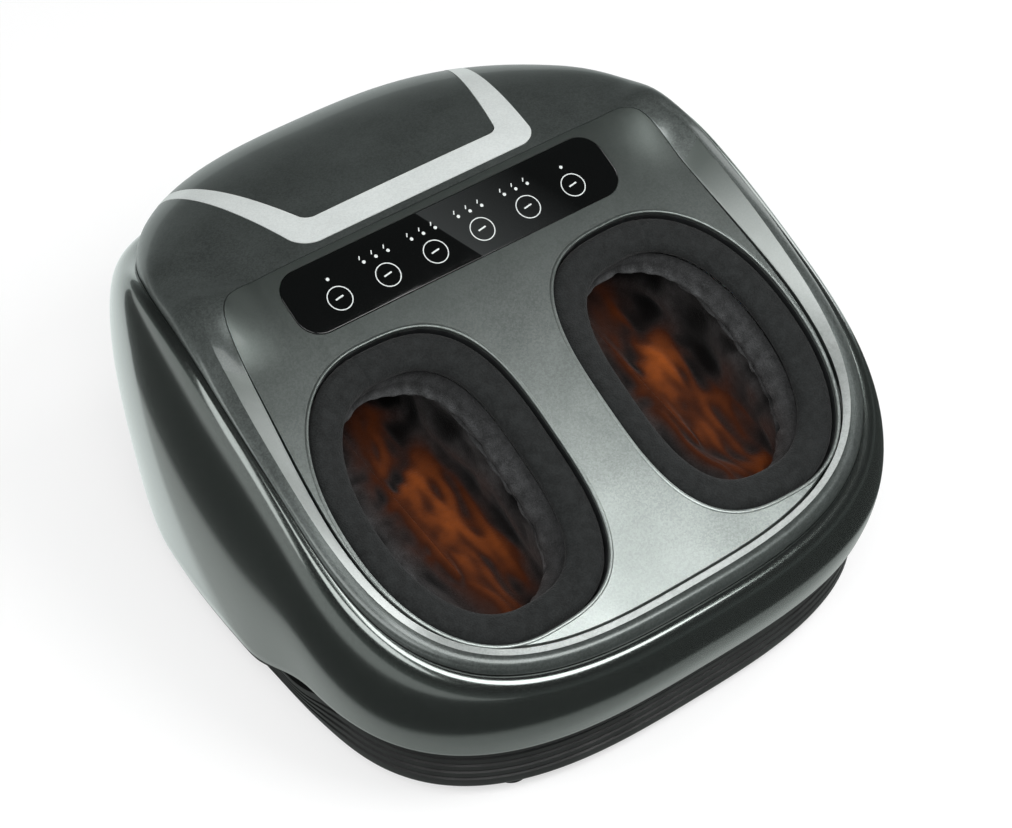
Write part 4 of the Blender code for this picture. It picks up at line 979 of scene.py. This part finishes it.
class MASSAGER_OT_linings(bpy.types.Operator):
    """Hang the gathered fabric linings in the two foot chambers"""

    bl_idname = "massager.linings"
    bl_label = "Gathered linings"
    COUNT, ROWS = 132, 70
    MOUTH_INSET, MOUTH_LEVEL = 0.0188, -0.0168  # under the collar's inner edge
    # How far in from the chamber's wall each ring of the sock hangs, and how far its toe end hangs under the wall's
    HANGS = ((0.0235, 0.11), (0.0205, 0.04), (0.0170, 0.0))
    FLOOR_INSET, FLOOR_END, FLOOR_LEVEL = 0.0155, 0.016, 0.021
    LAMP_AT, LAMP_REACH = (0.017, -0.052, 0.06), (0.029, 0.096, 0.052)

    def execute(self, context):
        painted_glow_colours = linear("3d1706"), linear("914817")
        fabric = finish(knit_fabric, "lining_knit", linear("2a2b2b"), linear("515253"), lining_loop, painted_glow_colours)
        for side, name in ((-1, "left"), (1, "right")):
            lining = skin(name + "_gathered_lining", self.sock(side))
            apply(lining, "SUBSURF", levels=1, render_levels=1)
            smooth(lining, 180)
            self.paint_glow(lining, side)
            apply(lining, "SOLIDIFY", thickness=0.0009, offset=0)
            hand_over(lining, fabric, "liner_fabric", name + "_liner")
        return {"FINISHED"}

    def sock(self, side):
        """A short funnel under the collar, a ruffled seam, and the sock laid in folds down to the sole."""
        count = self.COUNT
        funnel = 0.0015 + 0.0115 * np.maximum(np.cos(np.arange(count) * math.tau / count), 0)[:, None] ** 0.7
        rows = [opening_row(side, self.MOUTH_INSET, self.MOUTH_LEVEL, count)]
        for share, up in ((0.55, -0.022), (1.0, -0.030)):
            straight, drawn = (opening_row(side, self.MOUTH_INSET + more, up, count) for more in (0, 0.01))
            rows.append(straight + (drawn - straight) * funnel / 0.01 * share)
        mouth_half = opening_half_width + 0.002
        for (inset, lowered), (heel, heel_up, toe, toe_up, widened) in zip(self.HANGS, chamber_shares[::-1]):
            front = sole_points(0.0, heel * sole_length, heel_up * chamber_height)
            rear = sole_points(0.0, toe * sole_length, (toe_up - lowered) * chamber_height)
            half = sole_half_width + (mouth_half - sole_half_width) * widened
            rows.append(chamber_row(side, front, rear, half, inset, count))
        ends = self.FLOOR_END, sole_length - self.FLOOR_END
        front, rear = (sole_points(0.0, end, self.FLOOR_LEVEL) for end in ends)
        rows.append(chamber_row(side, front, rear, sole_half_width, self.FLOOR_INSET, count))
        middle = rows[-1].mean(axis=0)
        spine = middle + (rows[-1] - middle) * (0, 0.55, 0.55)
        rows += [rows[-1] + (spine - rows[-1]) * share for share in (0.35, 0.75, 1.0)]
        sock = through(rows, self.ROWS)
        v = np.linspace(0, 1, self.ROWS)[:, None]
        u = (np.arange(count) * math.tau / count)[None, :]
        normal = np.cross(np.roll(sock, -1, axis=1) - np.roll(sock, 1, axis=1), np.gradient(sock, axis=0))
        normal /= np.maximum(np.linalg.norm(normal, axis=-1, keepdims=True), 1e-12)
        drift = 0.5 * np.sin(2 * u + side) + 0.3 * np.sin(5 * u + 3 * v)
        pleats = np.abs(np.sin(13 * u + 2.0 * drift + v)) + 0.5 * np.abs(np.sin(23 * u + 3 * drift))
        ruffle = np.exp(-((v - 0.215) / 0.026) ** 2) * (0.4 + np.abs(np.sin(31 * u + 4 * drift)))
        depth = settings().gather_depth
        height = 0.6 * depth * (pleats - 0.8) * smooth_step(v, 0.08, 0.26) * (1 - smooth_step(v, 0.4, 0.7))
        height = height + 0.5 * depth * ruffle
        folds = np.array([self.fold(point, side) for point in sock.reshape(-1, 3)]).reshape(v.shape[0], -1)
        height = height + 2.1 * depth * (folds - 0.14) * smooth_step(v, 0.24, 0.36) * (1 - smooth_step(v, 0.93, 1.0))
        return sock - normal * np.maximum(height, -0.0006)[..., None]

    def fold(self, point, side):
        """Soft billows with sharp valleys: long along the foot, and turned across it towards the toes."""
        x, y, z = point[0] - side * opening_x, point[1] - deck_y, point[2]
        bend = 0.5 * lumps.noise(Vector((x / 0.05 + 7 * side, y / 0.06, z / 0.06)))
        along = abs(lumps.noise(Vector((x / 0.028 + bend + 3 * side, y / 0.11 + 1.5 * bend, z / 0.05))))
        across = abs(lumps.noise(Vector((x / 0.07 + bend, y / 0.032 - x / 0.05 + 2 * bend, z / 0.03 + 5 * side))))
        fine = abs(lumps.noise(Vector((x / 0.010 + 2 * bend, y / 0.024, z / 0.018))))
        toe = min(max((y - 0.0) / 0.06, 0), 1)
        return 1.5 * (along * (1 - toe) + across * toe) + 0.26 * fine

    def paint_glow(self, lining, side):
        """Paints how much of the lamp's light comes through, as glow: most on the folds' ridges, little in their
        valleys; and fold, painted shade that darkens the valleys.
        """
        place = points_of(lining)
        edges = np.empty(len(lining.data.edges) * 2, dtype=np.int32)
        lining.data.edges.foreach_get("vertices", edges)
        one, two = edges.reshape(-1, 2).T
        count = np.bincount(np.concatenate([one, two]), minlength=len(place))[:, None]
        normal = np.empty(len(place) * 3)
        lining.data.vertices.foreach_get("normal", normal)
        normal = normal.reshape(-1, 3)
        outwards = np.sign(np.sum(normal * (place - place.mean(axis=0))))
        even, ridges = place.copy(), []
        for step in range(1, 61):
            total = np.zeros_like(even)
            for axis in range(3):
                total[:, axis] = sum(np.bincount(a, even[b, axis], len(even)) for a, b in ((one, two), (two, one)))
            even = total / np.maximum(count, 1)
            if step in (8, 60):
                ridges.append(-outwards * np.sum((place - even) * normal, axis=1))
        # Small ridges from 8 rounds of evening out, large ones from 60, in metres over the evened surface
        # Painted shade in the small creases, which dims both glow and fold
        crease_shade = np.clip(1 + ridges[0] / 0.0010, 0.35, 1.1)
        local = place - (side * opening_x + self.LAMP_AT[0], *self.LAMP_AT[1:])
        local[:, 2] = np.maximum(local[:, 2], 0)
        across, along, up = (local / self.LAMP_REACH).T
        away = np.sqrt(across ** 2 + along ** 2 + up ** 2)
        glow = np.exp(-away ** 3) * np.clip(0.56 + ridges[1] / 0.0040, 0.1, 1.2) * crease_shade * settings().glow
        for name, value in (("glow", glow), ("fold", np.clip(0.6 + ridges[1] / 0.0045, 0.0, 1.0) * crease_shade)):
            attribute = lining.data.attributes.new(name, "FLOAT", "POINT")
            attribute.data.foreach_set("value", value.astype(np.float32))


class MASSAGER_OT_base(bpy.types.Operator):
    """Mould the black base with its ribs, and set the rubber feet"""

    bl_idname = "massager.base"
    bl_label = "Base and feet"

    def execute(self, context):
        angle = turn_angles()
        full_x, full_y = outline(angle, flank_reach, flank_rear_power)
        hollow = grip_share(full_x, full_y)
        hung = (flank_z - flank_low(full_y)) / skirt_drop
        flange = flank_low(full_y) - seam - tray_flange - ramp_gap * (1 - np.abs(2 * hung - 1))

        def row(inset, share, up=0.0, grip=0.0):
            """A ring of the tray, at this share of the way from the ground to the flange, and up from there."""
            reach = [r - inset - grip * hollow for r in flank_reach]
            x, y = outline(angle, reach, flank_rear_power)
            low = flange - grip_height * hollow * (1 - min(up, tray_flange) / tray_flange)
            return np.stack([x, y, foot_height + (low - foot_height) * share + up], axis=-1)

        rim, deep = tray_rim_z - foot_height, tray_inset + 0.0012
        # The outer side from the ground up, four grooves in it, the flange under the flank, then down inside
        rows = [row(0.014, 0), row(0.0110, 0.04), row(0.0088, 0.10), row(tray_inset, 0.15)]
        for at in (0.30, 0.45, 0.60, 0.75):
            rows += [row(tray_inset, at - 0.035), row(deep, at - 0.015)]
            rows += [row(deep, at + 0.015), row(tray_inset, at + 0.035)]
        rows += [row(tray_inset, 1), row(0.0013, 1, 0, grip_depth), row(0.0013, 1, tray_flange, grip_depth)]
        rows += [row(0.0085, 1, tray_flange, grip_depth), row(0.0085, 0, rim, grip_depth)]
        rows += [row(0.011, 0, rim, grip_depth)]
        rows += [row(0.012, 0, 0.0097, grip_depth), row(0.012, 0, 0.006), row(0.018, 0, 0.003)]
        base = closed_ends(skin("moulded_base", rows))
        low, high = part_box("power_inlet")
        centre, size = (low + high) / 2, high - low
        hole_size = (size.x + 0.0006, size.y + 0.02, size.z + 0.0006)
        hole = rounded_box("hole", hole_size, Matrix.Translation(centre), 0.0004)
        carve(base, hole)
        smooth(base, 30)
        hand_over(base, black_base(), "base_black", "base_tray")
        rubber = finish(moulded_plastic, "black_rubber", linear("0e0e0f"), linear("1a1a1b"), 0.75, 0.0005)
        for name in [f"{end}_{side}_foot" for end in ("front", "middle", "rear") for side in ("left", "right")]:
            low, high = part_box(name)
            radius, height = (high.x - low.x) / 2, high.z - low.z
            place = Matrix.Translation(((low.x + high.x) / 2, (low.y + high.y) / 2, low.z))
            # Radius, as a share of the foot's own but for the first, and height: a tread with a shallow hollow
            profile = [(0.00002, 0.0006), (0.35, 0.0006), (0.45, 0.0), (0.85, 0.0), (0.96, 0.0007), (1.0, 0.0022)]
            profile = [(r * radius if r > 0.001 else r, h) for r, h in profile]
            profile += [(radius, height - 0.0002), (radius * 0.9, height), (0.00002, height)]
            foot = smooth(turned(name + "_pad", profile, place, 40), 40)
            hand_over(foot, rubber, "foot_rubber", name)
        return {"FINISHED"}


class MASSAGER_OT_workings(bpy.types.Operator):
    """Finish the parts inside, which keep their solids"""

    bl_idname = "massager.workings"
    bl_label = "Parts inside"
    # Slot, what makes its finish, the finish, its two colours, its roughness and the size of its grain
    INSIDE = (
        ("tub_plastic", moulded_plastic, "tub_polypropylene", "1c1d1e", "262829", 0.5),
        ("wheel_nylon", moulded_plastic, "white_nylon", "d6d3c8", "e4e1d8", 0.38, 0.0012),
        ("head_plastic", moulded_plastic, "grey_pom", "5a5f63", "6c7276", 0.35, 0.0015),
        ("steel", plain_metal, "turned_steel", "b4b7ba", "8f9397", 0.28),
        ("worm_brass", plain_metal, "cut_brass", "c9a356", "a88339", 0.25),
        ("chassis_steel", plain_metal, "zinc_sheet", "a7abad", "8a8f92", 0.42, 0.003),
        ("airbag_vinyl", clear_vinyl, "milky_vinyl"),
        ("board_green", circuit_board, "solder_mask"),
        ("lamp_orange", lamp_glass, "orange_lamp_glass"),
        ("hose_silicone", moulded_plastic, "silicone_hose", "c4c8c8", "d6d9d9", 0.4, 0.002),
    )

    def execute(self, context):
        finishes = {"base_black": black_base(), "foot_rubber": black_base()}
        for slot, make, name, *values in self.INSIDE:
            values = [linear(value) if isinstance(value, str) else value for value in values]
            finishes[slot] = finish(make, name, *values)
        for name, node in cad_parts.items():
            if not isinstance(node, bpy.types.Object):
                node = bpy.data.objects[name]
            for k, old in enumerate(node.data.materials):
                made = finishes.get(old.name.split(".")[0] if old else "")
                if made:
                    node.data.materials[k] = made
        return {"FINISHED"}


class MASSAGER_OT_stage(bpy.types.Operator):
    """Lay the pale floor, hang the lamps and set the camera"""

    bl_idname = "massager.stage"
    bl_label = "Floor, lamps and camera"

    def execute(self, context):
        scene = context.scene
        deselect()
        bpy.ops.mesh.primitive_plane_add(size=14, location=(0, 0, 0))
        floor = context.object
        floor.name = "pale_floor"
        floor.data.materials.append(self.floor_finish())
        aim = Vector((0, -0.03, 0.1))
        for name, spot, size, watts in (
            ("overhead", (0.30, -0.72, 1.15), (0.55, 0.45), 7.0),
            ("left", (-1.6, 0.35, 0.75), (0.5, 1.2), 6.0),
            ("right", (1.7, 0.1, 0.8), (0.4, 1.2), 6.0),
            ("front", (-0.95, -1.05, 1.75), (1.3, 1.0), 17.0),
        ):
            lamp = bpy.data.lights.new(name + "_softbox", "AREA")
            lamp.shape, lamp.size, lamp.size_y, lamp.energy = "RECTANGLE", size[0], size[1], watts
            light = bpy.data.objects.new(lamp.name, lamp)
            scene.collection.objects.link(light)
            light.location = spot
            light.rotation_euler = (aim - Vector(spot)).to_track_quat("-Z", "Y").to_euler()
        self.set_world(scene)
        camera = bpy.data.cameras.new("photo_camera")
        camera.lens, camera.sensor_width, camera.clip_end = 96.05, 36, 50
        seen = bpy.data.objects.new("photo_camera", camera)
        seen.location = (-0.7204, -0.9778, 1.2535)
        seen.rotation_euler = (math.radians(46.04), 0, math.radians(-37.14))
        scene.collection.objects.link(seen)
        scene.camera = seen
        scene.view_settings.view_transform = "Standard"
        return {"FINISHED"}

    def floor_finish(self):
        """Pale to the lamps and white to the camera. Gloss sees a pale table with dark cloth round it, pale ground
        again far to the left, and a pale card along the object's rear left, which lights that side's rim."""
        made, shader, place = new_material("pale_floor", Roughness=0.9, Specular_IOR_Level=0.0)
        parts = add_node(made, PARTS, None, Vector=place).outputs
        away = []
        for axis, shift, reach in (("X", 0.0, 0.245), ("Y", -0.06, 0.345)):
            part = parts[axis]
            for operation, value in (("ADD", shift), ("DIVIDE", reach), ("ABSOLUTE", None), ("POWER", 3.0)):
                part = add_node(made, MATH, {"operation": operation}, _0=part)
                if value is not None:
                    part.inputs[1].default_value = value
                part = part.outputs[0]
            away.append(part)
        beyond = add_node(made, MATH, {"operation": "ADD"}, _0=away[0], _1=away[1]).outputs[0]
        edge = add_node(made, RANGE, None, Value=beyond, From_Min=0.94, From_Max=1.06, To_Min=0.0, To_Max=1.0)
        cloth = add_node(made, MIX, MIX_RGBA, _0=edge.outputs[0], _6=linear("adb3b0"), _7=linear("3c403e"))
        left = add_node(made, RANGE, None, Value=parts["X"], From_Min=-0.50, From_Max=-0.42, To_Min=1.0, To_Max=0.0)
        hem = add_node(made, MATH, TIMES_PLUS, _0=parts["Y"], _1=0.1, _2=parts["X"]).outputs[0]
        right_of = add_node(made, RANGE, None, Value=hem, From_Min=-0.203, From_Max=-0.197, To_Min=0.0, To_Max=1.0)
        behind = add_node(made, RANGE, None, Value=parts["Y"], From_Min=-0.03, From_Max=0.02, To_Min=0.0, To_Max=1.0)
        card = add_node(made, MATH, TIMES, _0=right_of.outputs[0], _1=behind.outputs[0]).outputs[0]
        gloss = add_node(made, MIX, MIX_RGBA, _0=left.outputs[0], _6=cloth.outputs[MIXED], _7=linear("dfe3e1"))
        gloss = add_node(made, MIX, MIX_RGBA, _0=card, _6=gloss.outputs[MIXED], _7=(0.78, 0.85, 0.83, 1.0))
        path = add_node(made, "ShaderNodeLightPath").outputs
        camera_ray, glossy_ray = path["Is Camera Ray"], path["Is Glossy Ray"]
        cloud = add_node(made, NOISE, None, Vector=place, Scale=1 / 0.5, Detail=3.0, Roughness=0.55).outputs["Fac"]
        pale = add_node(made, MIX, MIX_RGBA, _0=cloud, _6=linear("eeeeee"), _7=linear("f2f2f2")).outputs[MIXED]
        lit = add_node(made, MIX, MIX_RGBA, _0=camera_ray, _6=pale, _7=linear("b4b4b4")).outputs[MIXED]
        for socket, other, mirrored in (
            ("Base Color", lit, (0.0, 0.0, 0.0, 1.0)),
            ("Emission Color", (0.56, 0.56, 0.56, 1.0), gloss.outputs[MIXED]),
        ):
            colour = add_node(made, MIX, MIX_RGBA, _0=glossy_ray, _6=other, _7=mirrored)
            link(made, colour.outputs[MIXED], shader, socket)
        seen = add_node(made, MATH, {"operation": "MAXIMUM"}, _0=camera_ray, _1=glossy_ray)
        link(made, seen.outputs[0], shader, "Emission Strength")
        return made

    def set_world(self, scene):
        """White where it is seen; for gloss, a pale horizon under a dark studio ceiling."""
        world = bpy.data.worlds.new("studio")
        world.use_nodes = True
        scene.world = world
        back = world.node_tree.nodes["Background"]
        place = add_node(world, "ShaderNodeTexCoord").outputs["Generated"]
        height = add_node(world, PARTS, None, Vector=place).outputs["Z"]
        above = add_node(world, RANGE, None, Value=height, From_Min=0.0, From_Max=0.35, To_Min=0.0, To_Max=1.0)
        studio = add_node(world, MIX, MIX_RGBA, _0=above.outputs[0], _6=linear("6c7270"), _7=linear("242726"))
        path = add_node(world, "ShaderNodeLightPath").outputs
        soft = add_node(
            world, MIX, MIX_RGBA, _0=path["Is Glossy Ray"], _6=linear("c4c5c5"), _7=studio.outputs[MIXED]
        )
        seen = add_node(
            world, MIX, MIX_RGBA, _0=path["Is Camera Ray"], _6=soft.outputs[MIXED], _7=(1.0, 1.0, 1.0, 1.0)
        )
        link(world, seen.outputs[MIXED], back, "Color")
        back.inputs["Strength"].default_value = 1.0


class MASSAGER_PT_panel(bpy.types.Panel):
    """The massager's pieces and what can be changed on them"""

    bl_idname = "MASSAGER_PT_panel"
    bl_label = "Foot massager"
    bl_space_type = "VIEW_3D"
    bl_region_type = "UI"
    bl_category = "Massager"

    def draw(self, context):
        for name in ("rim_width", "mark_width", "gather_depth", "glow", "shell_dark"):
            self.layout.prop(context.scene.massager, name)
        for step in STEPS:
            self.layout.operator(step.bl_idname)


STEPS = (
    MASSAGER_OT_flank,
    MASSAGER_OT_cover,
    MASSAGER_OT_trim,
    MASSAGER_OT_plate,
    MASSAGER_OT_panel,
    MASSAGER_OT_collars,
    MASSAGER_OT_linings,
    MASSAGER_OT_base,
    MASSAGER_OT_workings,
    MASSAGER_OT_stage,
)


def register():
    for kind in (MassagerSettings, *STEPS, MASSAGER_PT_panel):
        bpy.utils.register_class(kind)
    bpy.types.Scene.massager = bpy.props.PointerProperty(type=MassagerSettings)


def unregister():
    del bpy.types.Scene.massager
    for kind in (MASSAGER_PT_panel, *reversed(STEPS), MassagerSettings):
        bpy.utils.unregister_class(kind)


def main():
    register()
    for step in STEPS:
        group, name = step.bl_idname.split(".")
        getattr(getattr(bpy.ops, group), name)()


if __name__ == "__main__":
    main()
